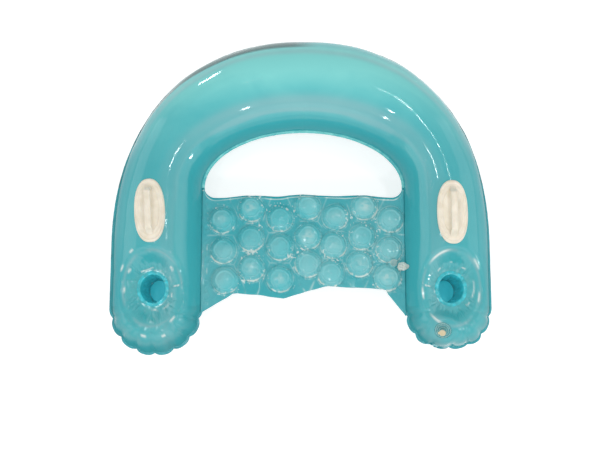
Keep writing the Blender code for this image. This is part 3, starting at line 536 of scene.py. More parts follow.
def aqua_film(name, colours, cover, roughness=(0.04, 0.10), wrinkle=0.08, deep=None, wrinkle_size=0.009):
    """Gloss-calendered PVC film tinted aqua, blown up tight.

    The eye sees a wet-looking surface with sharp streaks of light, faint milky clouds 10 to 20 cm
    across where the film blushes, and the far film showing through it. Stretch lines about 9 mm
    apart and a grain of about 1.2 mm, drawn coarser than the real 0.3 mm so that it shows. The weak
    glow stands for the light that comes through the thin film from inside. A film with a deep colour
    is also toned by the shares that its mesh holds: its own weld lines and web, and painted light and
    shade, which are a paler lit side, painted reflections, highlights and glints, and painted shade on
    its sides and edges. It is less glossy where that painted shade is deep.
    """
    material, tree, output = new_material(name)
    amount = ramp(tree, scaled_noise(tree, 0.16, 3.0, 0.55, distortion=0.6), 0.38, 0.66)
    tints, gloss, stretch = {}, 0.5, (1.0, 1.0, 1.0)
    if deep:
        # Toned by the mesh's shares: weld lines and painted sheen lighten the film; the web, painted shade,
        # a painted reflection, a painted dark strip and painted glints tint it; gloss falls where the
        # painted shade is deep
        amount = calc(tree, "ADD", share_of(tree, "pale_lines_and_sheen"), calc(tree, "MULTIPLY", amount, 0.25), clamp=True)
        tints = {"tone_and_shade": deep, **{label: linear(code) for label, code in PAINTED_LIGHT_TINTS.items()}}
        gloss = ramp(tree, share_of(tree, "tone_and_shade"), 0.60, 0.9, 0.5, 0.0)
        stretch = (1.0, 0.35, 1.0)
    colour = two_tone(tree, *colours, amount)
    for label, tint in tints.items():
        colour = two_tone(tree, colour, tint, share_of(tree, label))
    lines = bump(tree, scaled_noise(tree, wrinkle_size, 1.0, 0.4, stretch), wrinkle, 0.12 * wrinkle_size)
    add_shader(tree, output, {
        "Base Color": colour, "Alpha": cover, "IOR": FILM_IOR, "Specular IOR Level": gloss,
        "Roughness": ramp(tree, scaled_noise(tree, 0.05), 0.3, 0.7, *roughness),
        "Normal": bump(tree, scaled_noise(tree, 0.0012, 0.0), 0.10, 0.0002, lines),
        "Emission Color": colour, "Emission Strength": 0.07,
    })
    return material


def welded_film(name, colour, edge):
    """Two films fused by a hot bar: flatter, duller and darker, with a fine bar pattern 2.5 mm apart."""
    material, tree, output = new_material(name)
    tone = two_tone(tree, colour, edge, ramp(tree, scaled_noise(tree, 0.03), 0.3, 0.7))
    bars = bump(tree, scaled_noise(tree, 0.0025, 1.0), 0.3, 0.0004)
    add_shader(tree, output, {"Base Color": tone, "Roughness": 0.22, "IOR": FILM_IOR, "Normal": bars})
    return material


def cup_vinyl(name, colour, shade, dull, glow):
    """Heavier opaque PVC sheet, heat-formed into the cup: even aqua, softly glossy, with flow marks
    about 14 mm long where it was drawn. The more it is dull, the softer its gloss, and the glow
    stands for the light that the sheet lets in."""
    material, tree, output = new_material(name)
    marks = scaled_noise(tree, 0.014, stretch=(1.0, 1.0, 0.4))
    add_shader(tree, output, {
        "Base Color": two_tone(tree, shade, colour, ramp(tree, marks, 0.25, 0.6)), "IOR": FILM_IOR,
        "Roughness": ramp(tree, marks, 0.3, 0.7, 0.14 + dull, 0.26 + dull),
        "Normal": bump(tree, marks, 0.25, 0.0006),
        "Emission Color": (*shade, 1.0), "Emission Strength": glow,
    })
    return material


def moulded_vinyl(name, colour, shade, roughness, cover=1.0, rings=None):
    """Injection-moulded soft PVC: satin, slightly waxy, with faint flow clouds about 25 mm across and
    the fine spark-eroded grain of the mould, drawn at 0.8 mm so that it shows. A point given as rings
    has pale turned lines 4.5 mm apart round it."""
    material, tree, output = new_material(name)
    if rings:
        where = add_node(tree, "ShaderNodeTexCoord").outputs["Object"]
        away = add_node(tree, "ShaderNodeVectorMath", {0: where, 1: rings}, operation="DISTANCE")
        wave = calc(tree, "MULTIPLY", away.outputs["Value"], 2 * math.pi / (4.5 * MM))
        tone = ramp(tree, calc(tree, "SINE", wave), 0.3, 1.0)
    else:
        tone = ramp(tree, scaled_noise(tree, 0.025), 0.3, 0.7)
    grain = scaled_noise(tree, 0.0008, 1.0)
    add_shader(tree, output, {
        "Base Color": two_tone(tree, shade, colour, tone), "IOR": MOULDING_IOR, "Alpha": cover,
        "Roughness": ramp(tree, grain, 0.2, 0.8, roughness - 0.06, roughness + 0.06),
        "Subsurface Weight": 0.15, "Subsurface Radius": (0.004, 0.003, 0.002),
        "Normal": bump(tree, grain, 0.15, 0.0002),
    })
    return material


# Plan and height of the ring


def outer_edge(y):
    """Half-width of the outer edge: straight beside the arms, |x/W|^p + |y/R|^p = 1 round the back."""
    share = np.clip((y - OUTER_START_Y) / OUTER_RISE, 0.0, 1.0)
    return HALF_WIDTH * (1.0 - share**OUTER_POWER) ** (1.0 / OUTER_POWER)


def lean(points):
    """Move points across by LEAN times a share: 1 at the seat, a half at the pods, 0 at the outer edge."""
    share = np.interp(np.abs(points[..., 0]), LEAN_PLACES, LEAN_SHARES)
    moved = points.copy()
    moved[..., 0] += LEAN * share
    return moved


def half_height(y):
    """Half-height of the tube along an arm, falling by a smoothstep towards its pod."""
    near_pod = fall(y, POD_FALL_TOP, POD_FALL_LENGTH)
    return ARM_HALF_HEIGHT + (POD_HALF_HEIGHT - ARM_HALF_HEIGHT) * near_pod


def gather(turn):
    """How far a scallop's notch is drawn in at a share of the pod's half-turn."""
    return (1.0 - np.abs(np.cos(math.pi * SCALLOPS * turn))) ** SCALLOP_SHARPNESS


def pod_radius(turn):
    """Radius of the pod's seam at a share of its half-turn."""
    return ARM_WIDTH / 2 - SEAM_FLANGE - SCALLOP_DEPTH * gather(turn)


def pod_turn(x, y):
    """Share of the pod's half-turn at a plan point in front of the pod's centre."""
    return np.arctan2(np.maximum(POD_Y - y, 0.0), x - POD_X) / math.pi


def off_crest(x, y):
    """How far a plan point of an arm or pod lies from the crest: 0 on it, 1 on the seam."""
    outer = outer_edge(y) - SEAM_FLANGE
    inner = INNER_EDGE + SEAM_FLANGE
    arm = np.abs(x - (outer + inner) / 2) / ((outer - inner) / 2)
    pod = np.hypot(x - POD_X, y - POD_Y) / pod_radius(pod_turn(x, y))
    return np.clip(np.where(y >= POD_Y, arm, pod), 0.0, 1.0)


def cup_reach(x, y):
    """Distance from a cup's axis as a share of its mouth."""
    return np.hypot((x - POD_X) / CUP_HALF_X, (y - CUP_Y) / CUP_HALF_Y)


def film_height(x, y, tie):
    """Height of a film over the seam on an arm or pod: h * sqrt(1 - off^2), drawn in to the cup."""
    reach = (cup_reach(x, y) - CUP_SEAT_SHARE) / (CUP_DIMPLE_SHARE - CUP_SEAT_SHARE)
    loose = smoothstep(reach)
    return half_height(y) * np.sqrt(1.0 - off_crest(x, y) ** 2) * loose + tie * (1.0 - loose)


def back_turn(x, y):
    """Angle of a plan point round the back: 0 beside the arms, a quarter turn in the middle."""
    return np.arctan2(np.maximum(y - INNER_START_Y, 0.0), x)


def seam_way(x, y, outer):
    """Distance along the seam, for the gathers: straight by the arms, an angle times a radius round
    the pod and round the back."""
    radius = ARM_WIDTH / 2
    turn = math.pi * pod_turn(x, y)
    back = back_turn(x, y) * HALF_WIDTH * 0.8
    arm = np.clip(y, POD_Y, INNER_START_Y)
    outside = arm + back - radius * np.where(y < POD_Y, turn, 0.0)
    inside = 2 * POD_Y - arm - back * 0.6 - radius * np.where(y < POD_Y, turn, math.pi)
    return np.where(outer | (y < POD_Y), outside, inside)


def in_plan(x, y):
    """Plan points from their two coordinates, either of which may be one number."""
    return np.stack(np.broadcast_arrays(x, y), axis=-1)


def raised(plan, height):
    """Plan points set at a height."""
    return np.concatenate([plan, np.broadcast_to(height, plan.shape[:-1])[..., None]], axis=-1)


def ring_plan(columns):
    """Rows of the tube's section over one half of the ring, from the pod to the middle of the back.

    A row runs from the outer seam to the inner one: middle + reach * sin(a), with height * cos(a).
    """
    arm_y = np.linspace(OUTER_START_Y, INNER_START_Y, ARM_ROWS + 1)
    power = 2.0 / OUTER_POWER
    start = math.asin(((INNER_START_Y - OUTER_START_Y) / OUTER_RISE) ** (1.0 / power))
    turn = np.linspace(0.0, math.pi / 2, BACK_ROWS + 1)[1:]
    swept = start + (math.pi / 2 - start) * turn / (math.pi / 2)
    back_x = HALF_WIDTH * np.append(np.cos(swept[:-1]), 0.0) ** power
    back_y = OUTER_START_Y + OUTER_RISE * np.sin(swept) ** power
    outer = in_plan(np.append(outer_edge(arm_y), back_x), np.append(arm_y, back_y))
    back_x = INNER_EDGE * np.append(np.cos(turn[:-1]), 0.0)
    back_y = INNER_START_Y + INNER_RISE * np.sin(turn)
    inner = in_plan(np.append(np.full_like(arm_y, INNER_EDGE), back_x), np.append(arm_y, back_y))
    back_tall = ARM_HALF_HEIGHT + (BACK_HALF_HEIGHT - ARM_HALF_HEIGHT) * np.sin(turn) ** 2
    tall = np.append(half_height(arm_y), back_tall)
    along = (inner - outer) / np.linalg.norm(inner - outer, axis=1, keepdims=True)
    seam_out, seam_in = outer + along * SEAM_FLANGE, inner - along * SEAM_FLANGE
    angle = np.linspace(-math.pi / 2, math.pi / 2, columns + 1)
    middle, reach = (seam_out + seam_in) / 2, (seam_in - seam_out) / 2
    spots = middle[:, None] + reach[:, None] * np.sin(angle)[None, :, None]
    heights = tall[:, None] * np.cos(angle)
    heights[:, 0] = heights[:, -1] = FLANGE_HALF
    return spots, heights, outer, inner


def pod_rim():
    """The pod's seam and flange edge, from the inner end of the first row round the front."""
    drop = (OUTER_START_Y - POD_Y) * np.arange(1, POD_SIDE_STEPS) / POD_SIDE_STEPS
    turn = np.arange(SCALLOPS * STEPS_PER_SCALLOP, -1, -1) / (SCALLOPS * STEPS_PER_SCALLOP)
    facing = in_plan(np.cos(math.pi * turn), -np.sin(math.pi * turn))
    centre, radius = np.array([POD_X, POD_Y]), pod_radius(turn)[:, None]
    front, front_edge = centre + facing * radius, centre + facing * (radius + SEAM_FLANGE)
    down, up = OUTER_START_Y - drop, POD_Y + drop
    seam_in, seam_out = in_plan(INNER_EDGE + SEAM_FLANGE, down), in_plan(HALF_WIDTH - SEAM_FLANGE, up)
    edge_in, edge_out = in_plan(INNER_EDGE, down), in_plan(HALF_WIDTH, up)
    return np.concatenate([seam_in, front, seam_out]), np.concatenate([edge_in, front_edge, edge_out])


def half_ring(up, columns, rings):
    """One film over the right half of the ring: its tube rows, its pod drawn to the cup, its flange.

    The top film goes on down the cup's well and across under the cup, so that the skin is closed.
    Returns points and triangles, and a tag for each triangle: 1 on the flange.
    """
    tie = CUP_MOUTH_HEIGHT if up > 0 else CUP_FLOOR_DROP
    spots, heights, outer, inner = ring_plan(columns)
    count = columns + 1
    seam, edge = pod_rim()
    rim = np.concatenate([spots[0], seam])
    crown = np.append(np.cos(np.linspace(-math.pi / 2, math.pi / 2, count)) ** 2, np.zeros(len(seam)))
    even = np.arange(rings, 0, -1)[:, None] / rings
    share = even * crown + np.sin(math.pi / 2 * even) * (1.0 - crown)
    reach = cup_reach(rim[:, 0], rim[:, 1])
    target = CUP_SEAT_SHARE + (reach - CUP_SEAT_SHARE) * share
    flat_rings = np.linspace(CUP_SEAT_SHARE, 1.0, 4)[:, None] * np.ones_like(reach)
    target = np.concatenate([target, flat_rings]) / reach
    centre = np.array([POD_X, CUP_Y])
    plan = centre + (rim - centre) * target[..., None]
    tall = film_height(plan[..., 0], plan[..., 1], tie)
    tall[rings:] = tie
    tall[0, count:] = FLANGE_HALF
    tall[0, :count] = heights[0]
    pod = raised(plan, tall)
    if up > 0:
        well = np.linspace(1.0, WELL_TAPER, WELL_ROWS)[1:, None, None] * (plan[-1:] - centre) + centre
        depth = np.linspace(CUP_MOUTH_HEIGHT, -CUP_FLOOR_DROP + 0.2 * MM, WELL_ROWS)[1:, None]
        pod = np.concatenate([pod, raised(well, depth)])
    pod = np.concatenate([pod, raised(np.broadcast_to(centre, (1, len(rim), 2)), pod[-1:, :, 2])])

    seam_line = raised(np.concatenate([spots[::-1, 0], seam[::-1], spots[:, -1]]), FLANGE_HALF)
    edge_line = raised(np.concatenate([outer[::-1], edge[::-1], inner]), 0.0)
    across = np.linspace(0.0, 1.0, FLANGE_STEPS + 1)[:, None, None]
    flange = edge_line * (1.0 - across) + seam_line * across
    parts = [part.reshape(-1, 3) for part in (raised(spots, heights), pod, flange)]
    first, second = len(parts[0]), len(parts[0]) + len(parts[1])
    triangles = [
        grid_triangles(len(spots), count)[:, ::-1],
        grid_triangles(len(pod), len(rim), first, closed=True),
        grid_triangles(len(flange), len(seam_line), second)[:, ::-1],
    ]
    tags = np.repeat([0, 0, 1], [len(part) for part in triangles])
    return np.concatenate(parts), np.concatenate(triangles), tags


def ring_surface():
    """Both films of both halves, as one closed skin, with a tag for each triangle.

    The bottom film is pressed flat by a soft minimum of its depth h under the seam and the floor's f:
    h - log(1 + e^(s (h - f))) / s.
    """
    points, triangles, tags = [], [], []
    count = 0
    for up, columns, rings in ((1, TOP_COLUMNS, TOP_POD_RINGS), (-1, BOTTOM_COLUMNS, BOTTOM_POD_RINGS)):
        half, faces, kinds = half_ring(up, columns, rings)
        if up < 0:
            over = half[:, 2] - (SEAM_HEIGHT - 0.4 * MM)
            half[:, 2] -= np.logaddexp(0.0, REST_SHARPNESS * over) / REST_SHARPNESS
        for side in (1, -1):
            points.append(half * np.array([side, 1.0, up]))
            triangles.append((faces[:, ::-1] if side * up > 0 else faces) + count)
            tags.append(np.where(kinds == 1, FLANGE, TOP_FILM if up > 0 else UNDER_FILM))
            count += len(half)
    return weld(np.concatenate(points), np.concatenate(triangles), np.concatenate(tags))


def crinkle_lines(x, y):
    """Short pleats between the cup and the seat's seam: narrow folds across, held by two bells."""
    near = bell(x - (POD_X - 68 * MM), 20 * MM) * bell(y - CUP_Y - 6 * MM, 15 * MM)
    return near * folds(x / (30 * MM), y / (5.5 * MM), 41)


def calm(x, y, top):
    """Share of the film's own unevenness that is left: less under a handle and round the main valve."""
    off_x = (np.abs(x) - HANDLE_X) / (HANDLE_HALF_X + 6 * MM)
    off_y = (y - HANDLE_Y) / (HANDLE_HALF_Y + 6 * MM)
    handle = 0.25 + 0.75 * rise(np.hypot(off_x, off_y), 1.0, 0.25)
    valve = rise(np.hypot(x - VALVE_X, y - VALVE_Y), VALVE_REACH, 16 * MM)
    return np.where(top, handle * valve, 1.0)


def crest_gap(x, y):
    """Distance outwards from the oval crest round a cup's dimple."""
    reach = np.hypot((x - POD_X) / CREST_HALF_X, (y - CUP_Y) / CREST_HALF_Y)
    return (reach - 1.0) * (CREST_HALF_X + CREST_HALF_Y) / 2


def ring_detail(points, settings):
    """How far the ring's skin stands out from its plain shape, in metres, at each point.

    Gathers beside the seams, creases from the scallops' notches, pleats round the cups and broad
    undulations: each is a noise along the seam or round the cup, faded by its distance from it.
    """
    side = np.sign(points[:, 0] + 1e-9).astype(int)
    x, y, top = np.abs(points[:, 0]), points[:, 1], points[:, 2] > 0.0
    seed = 3 + 10 * side + 5 * top
    from_seam = np.abs(points[:, 2])
    crest_in_back = (BACK_Y + INNER_START_Y + INNER_RISE) / 2 - INNER_START_Y
    middle = np.interp(back_turn(np.maximum(x, 1e-6), y), [0.0, math.pi / 2], [POD_X, crest_in_back])
    outer = np.where(y > INNER_START_Y, np.hypot(x, y - INNER_START_Y) > middle, x > POD_X)
    way = seam_way(x, y, outer)
    near_seam = np.exp(-from_seam / (20 * MM))
    amount = np.zeros(len(points))
    for label in np.unique(seed).tolist():
        here = seed == label
        along, away = way[here], from_seam[here]
        gathers = 0.65 * folds(along / (17 * MM), away / (60 * MM), label)
        gathers += 0.35 * folds(along / (7 * MM), away / (30 * MM), label + 1)
        uneven = 0.35 + 0.65 * smoothstep(0.5 + noise(along / (90 * MM), 0.0, label + 2))
        amount[here] += settings.seam_pucker * gathers * near_seam[here] * uneven
        long_waves = noise(along / (120 * MM), away / (25 * MM), label + 4)
        amount[here] += 0.9 * MM * patches(x[here], y[here], 75, label + 3) + 0.7 * MM * long_waves
    turn = pod_turn(x, y)
    radius = np.hypot(x - POD_X, y - POD_Y)
    notch_gap = (np.mod(turn * SCALLOPS, 1.0) - 0.5) / SCALLOPS * math.pi * radius
    wander = 3.0 * MM * noise(radius / (15 * MM), np.floor(turn * SCALLOPS), 71)
    inward = np.exp(-np.maximum(pod_radius(turn) - radius, 0.0) / (24 * MM))
    crease = bell(notch_gap + wander * (1.0 - inward), 3.2 * MM) - 0.45 * bell(notch_gap, 11 * MM)
    amount -= settings.scallop_crease * crease * inward * fall(y, POD_Y, 30 * MM)
    reach = cup_reach(x, y)
    in_front = y < OUTER_START_Y
    round_cup = np.arctan2((y - CUP_Y) / CUP_HALF_Y, (x - POD_X) / CUP_HALF_X)
    fade = rise(reach, 1.28, 0.3) * np.exp(-np.maximum(reach - 1.5, 0.0) / 0.55)
    pleats = folds(round_cup * 5.5, reach * 0.8, 90) + 0.6 * folds(round_cup * 13.0, reach * 1.5, 91)
    pleats += 0.35 * folds(round_cup * 7.0, reach * 5.0, 92)
    amount += settings.cup_pleat * pleats * fade * in_front
    amount += 3.4 * MM * crinkle_lines(x, y) * top
    crest = bell(crest_gap(x, y) + 2 * MM * noise(round_cup * 2.0, 0.0, 95), 8.0 * MM)
    amount += settings.cup_crest * crest * (0.75 + 0.25 * noise(round_cup * 1.3, 0.0, 96)) * top
    amount *= rise(from_seam, FLANGE_HALF, 5 * MM) * calm(points[:, 0], y, top)
    return np.where((reach < 1.02) & in_front, 0.0, amount)


def across_share(x, y):
    """How far a plan point lies from the ring's inner edge (0) to its outer edge (1).

    a / (a + b), where a and b are its distances from the inner ellipse and the outer superellipse.
    """
    past_inner, past_outer = np.maximum(y - INNER_START_Y, 0.0), np.maximum(y - OUTER_START_Y, 0.0)
    inside = np.hypot(x / INNER_EDGE, past_inner / INNER_RISE)
    outside = (x / HALF_WIDTH) ** OUTER_POWER + (past_outer / OUTER_RISE) ** OUTER_POWER
    to_inner = np.maximum(inside - 1.0, 0.0) * INNER_EDGE
    to_outer = np.maximum(1.0 - outside ** (1 / OUTER_POWER), 0.0) * HALF_WIDTH
    return to_inner / np.maximum(to_inner + to_outer, 1e-6)


def glint_share(points):
    """Share of painted highlight: arcs painted along the crest round each cup, painted glints at the tips
    of the pleats beside it, and broken painted glints farther out."""
    x, y, side = np.abs(points[:, 0]), points[:, 1], np.sign(points[:, 0])
    near_cup = (y < OUTER_START_Y) & (points[:, 2] > 0.0)
    round_cup = np.arctan2((y - CUP_Y) / CREST_HALF_Y, (x - POD_X) / CREST_HALF_X)
    painted_glint = np.zeros(len(points))
    for hand, arcs in CREST_ARCS.items():
        for middle, reach, offset in arcs:
            apart = np.angle(np.exp(1j * (round_cup - math.radians(middle))))
            arc = fall(np.abs(apart), math.radians(reach), math.radians(reach * 0.7))
            painted_glint += (near_cup & (side == hand)) * arc * bell(crest_gap(x, y) - offset * MM, 2.6 * MM)
    painted_glint += near_cup * rise(crinkle_lines(x, y), 0.42, 0.2)
    wander = 1.60 + 0.10 * side + 0.16 * noise(round_cup * 2.5, side * 5.0, 99)
    broken = rise(noise(round_cup * 4.5, side * 3.0, 98), 0.15, 0.5)
    painted_glint += 0.8 * near_cup * (bell(cup_reach(x, y) - wander, 0.045) * broken)
    return np.clip(0.85 * painted_glint, 0.0, 0.85)


def film_tones(points):
    """Five shares at each point, under their labels.

    pale_lines_and_sheen: painted light, the paler outer half of the back, which faces the light, and a
    painted highlight streak near its outer edge. tone_and_shade: painted shade, the deeper film on the
    inner edge, the arms, their outer edge and the pods' edge. painted_reflection: a painted reflection, a
    milky band between the inner edge and the crest, a thin pale one near the outer edge, and painted
    highlights on the crest round each cup. shade_strip: painted shade, a dark band along the left of the
    back's outer edge, which tapers to the left and fades below the edge, with a weak share on the arms
    and the pods' edge. painted_glint: painted highlights and glints round the cups.
    """
    x, y = np.abs(points[:, 0]), points[:, 1]
    share = across_share(x, y)
    in_back = rise(y, 40 * MM, 260 * MM)
    at_edge = rise(share, 0.885, 0.05)
    in_pod = y < POD_Y
    pod_edge = np.hypot(x - POD_X, y - POD_Y) / pod_radius(pod_turn(x, y))
    swing = back_turn(x, y) / (math.pi / 2)

    # Painted light: the outer half of the back, which faces the light, painted paler, and a painted
    # highlight streak near the outer edge
    pale_lines_and_sheen = in_back * rise(share, 0.38, 0.35) * 0.85
    streak = bell(share - 0.80 - 0.03 * noise(y / (120 * MM), 0.0, 81), 0.035) * rise(y, -0.02, 0.1)
    pale_lines_and_sheen = np.clip(pale_lines_and_sheen + 0.35 * streak, 0.0, 1.0) * (0.65 + 0.35 * rise(swing, 0.3, 0.4))

    # Painted shade: the film painted deeper on the inner edge, on the arms and their outer edge, and on the
    # pods' edge
    tone_and_shade = (1.0 - rise(share, 0.10, 0.22)) * 0.85
    tone_and_shade = np.maximum(tone_and_shade, (1.0 - in_back) * (0.48 + 0.35 * rise(share, 0.72, 0.2)))
    tone_and_shade = np.maximum(tone_and_shade, at_edge * (0.95 - 0.45 * in_back))
    tone_and_shade = np.maximum(tone_and_shade, 0.9 * rise(pod_edge, 0.72, 0.25) * in_pod)

    # Painted reflection: a milky band between the inner edge and the crest and a thin pale one near the
    # outer edge, with painted highlights on the crest round each cup
    sway = 0.03 * patches(x, y, 90, 83)
    painted_reflection = rise(share + sway, 0.24, 0.04) * fall(share, 0.55, 0.22)
    painted_reflection = painted_reflection * (0.22 + 0.62 * in_back) * (0.75 + 0.25 * noise(share * 28.0, y / (200 * MM), 84))
    painted_reflection = np.maximum(painted_reflection, 0.42 * bell(share - 0.865 + 0.02 * sway, 0.022) * in_back)
    crest = bell(crest_gap(x, y), 4 * MM) * smoothstep(0.7 + patches(x, y, 30, 97))
    painted_reflection = np.maximum(painted_reflection, 0.45 * crest * (y < OUTER_START_Y))

    # Painted shade: a dark band along the left of the back's outer edge, and a weak share that paints the
    # arms and the pods' edge darker
    shade_strip = smoothstep((share - 0.938 + 0.038 * smoothstep(swing / 0.7)) / 0.012)
    shade_strip = shade_strip * rise(swing, 0.12, 0.2) * fall(points[:, 0], 0.05, 0.09)
    shade_strip = shade_strip * fall(share, 0.985, 0.025) * (points[:, 2] > 0.0)
    weak = (0.15 + 0.25 * at_edge) * (1.0 - in_back) + 0.16 * rise(pod_edge, 0.7, 0.25) * in_pod
    return {
        "pale_lines_and_sheen": pale_lines_and_sheen,
        "tone_and_shade": np.clip(tone_and_shade, 0.0, 1.0),
        "painted_reflection": np.clip(painted_reflection, 0.0, 1.0),
        "shade_strip": np.maximum(shade_strip, weak),
        "painted_glint": glint_share(points),
    }


def valve_seat(points):
    """Draw the top film flat under the main valve's flange: blend to the flange's plane by smoothstep."""
    x, y = points[:, 0] - VALVE_SPOT[0], points[:, 1] - VALVE_SPOT[1]
    loose = rise(np.hypot(x, y), 25 * MM, 30 * MM)
    slope = (VALVE_NORMAL[0] * x + VALVE_NORMAL[1] * y) / VALVE_NORMAL[2]
    plane = VALVE_SPOT[2] - SEAM_HEIGHT - 0.3 * MM - slope
    moved = points.copy()
    moved[:, 2] = np.where(points[:, 2] > 0.0, points[:, 2] * loose + plane * (1.0 - loose), points[:, 2])
    return moved


class POOLCHAIR_OT_ring(bpy.types.Operator):
    """Make the air ring's skin: two films, their welded flange, gathers and creases"""

    bl_idname = "pool_chair.ring"
    bl_label = "Air ring"

    def execute(self, context):
        settings = context.scene.pool_ring
        points, triangles, tags = ring_surface()
        x, y = np.abs(points[:, 0]), points[:, 1]
        ruffle = settings.flange_ruffle * folds(seam_way(x, y, x > POD_X) / (14 * MM), 0.0, 17)
        ruffle = ruffle * np.exp(-np.abs(points[:, 2]) / (9 * MM))
        points = points + point_normals(points, triangles) * ring_detail(points, settings)[:, None]
        points[:, 2] += ruffle
        left_droop = fall(y, CUP_Y, 120 * MM)
        right_lift = fall(y, VALVE_Y - VALVE_REACH, 34 * MM)
        points[:, 1] += np.where(points[:, 0] < 0.0, -left_droop, right_lift) * settings.pod_droop / 2
        tones = film_tones(points)
        points = valve_seat(lean(points))
        points[:, 2] = np.maximum(points[:, 2] + SEAM_HEIGHT, CAD_LOW.z)
        at_y = y[triangles].mean(axis=1)
        inside = (across_share(x, y)[triangles].mean(axis=1) < 0.3) & (at_y > INNER_START_Y)
        tags = np.where((tags == FLANGE) & (at_y < INNER_START_Y), FRONT_BAND, tags)
        tags = np.where((tags == FLANGE) & inside, INNER_BAND, tags)
        clear, pale, deep = settings.clear, settings.pale, settings.deep
        films = {
            TOP_FILM: aqua_film("calendered_clear_vinyl_top", (clear, pale), settings.cover, deep=deep),
            FLANGE: welded_film("hot_bar_weld", settings.weld, deep),
            UNDER_FILM: aqua_film("calendered_clear_vinyl_under", (deep, clear), 1.0),
            # The inner flange is painted the pale film colour, a painted highlight along the ring's inner
            # edge
            INNER_BAND: welded_film("hot_bar_weld_inner_highlight", pale, clear),
            FRONT_BAND: welded_film("hot_bar_weld_front", deep, linear(FRONT_WELD)),
        }
        skin = make_piece("ring_skin", points, triangles, films.values(), tags, tones)
        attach(skin, "float")
        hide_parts("ring_top_sheet", "ring_bottom_sheet")
        return {"FINISHED"}


# Seat


def bubble_centres():
    """Plan centres of the bubbles, in staggered columns."""
    columns = np.arange(BUBBLE_COLUMNS)[:, None]
    rows = np.arange(BUBBLE_ROWS)[None]
    drift = np.array(BUBBLE_DRIFT) * MM
    x = BUBBLE_SHIFT_X + BUBBLE_PITCH_X * (columns - (BUBBLE_COLUMNS - 1) / 2) + drift[..., 0]
    drop = BUBBLE_FIRST_ROW + np.where(columns % 2 == 0, BUBBLE_STAGGER, 0.0)
    y = SEAT_BACK_Y - drop - BUBBLE_PITCH_Y * rows + drift[..., 1]
    return list(zip(x.ravel(), y.ravel()))


def seat_plan():
    """Plan of the seat as a grid: x across, and y from the back edge to the front edge.

    The back edge is gathered in waves between the bubbles and runs up a fillet at each arm. The front
    edge hangs in shallow points between its corner webs.
    """
    across = np.linspace(-1.0, 1.0, SEAT_COLUMNS + 1) * SEAT_EDGE
    x = np.abs(across)
    fillet = np.clip((x - (INNER_EDGE - SEAT_CORNER_RADIUS)) / SEAT_CORNER_RADIUS, 0.0, 1.0)
    wave = 2.2 * MM * np.cos(2 * math.pi * (across - BUBBLE_SHIFT_X) / (2 * BUBBLE_PITCH_X))
    wave = wave + 1.2 * MM * noise(across / (34 * MM), 0.0, 5)
    loose = fall(x, SEAT_FOLD, 30 * MM)
    bow = SEAT_BACK_BOW * (1.0 - np.minimum(x / (INNER_EDGE - SEAT_CORNER_RADIUS), 1.0) ** 2)
    back = INNER_START_Y - SEAT_CORNER_RADIUS * np.sqrt(1.0 - fillet**2) + bow + wave * loose
    front_x, front_y = np.array(FRONT_EDGE).T * MM
    front = np.interp(across + LEAN, front_x, SEAT_FRONT_Y + front_y)
    front = front + 1.2 * MM * noise(across / (30 * MM), 0.0, 8) * loose
    down = np.linspace(0.0, 1.0, SEAT_ROWS + 1)[:, None]
    y = back[None] * (1.0 - down) + front[None] * down
    return np.broadcast_to(across[None], y.shape).copy(), y


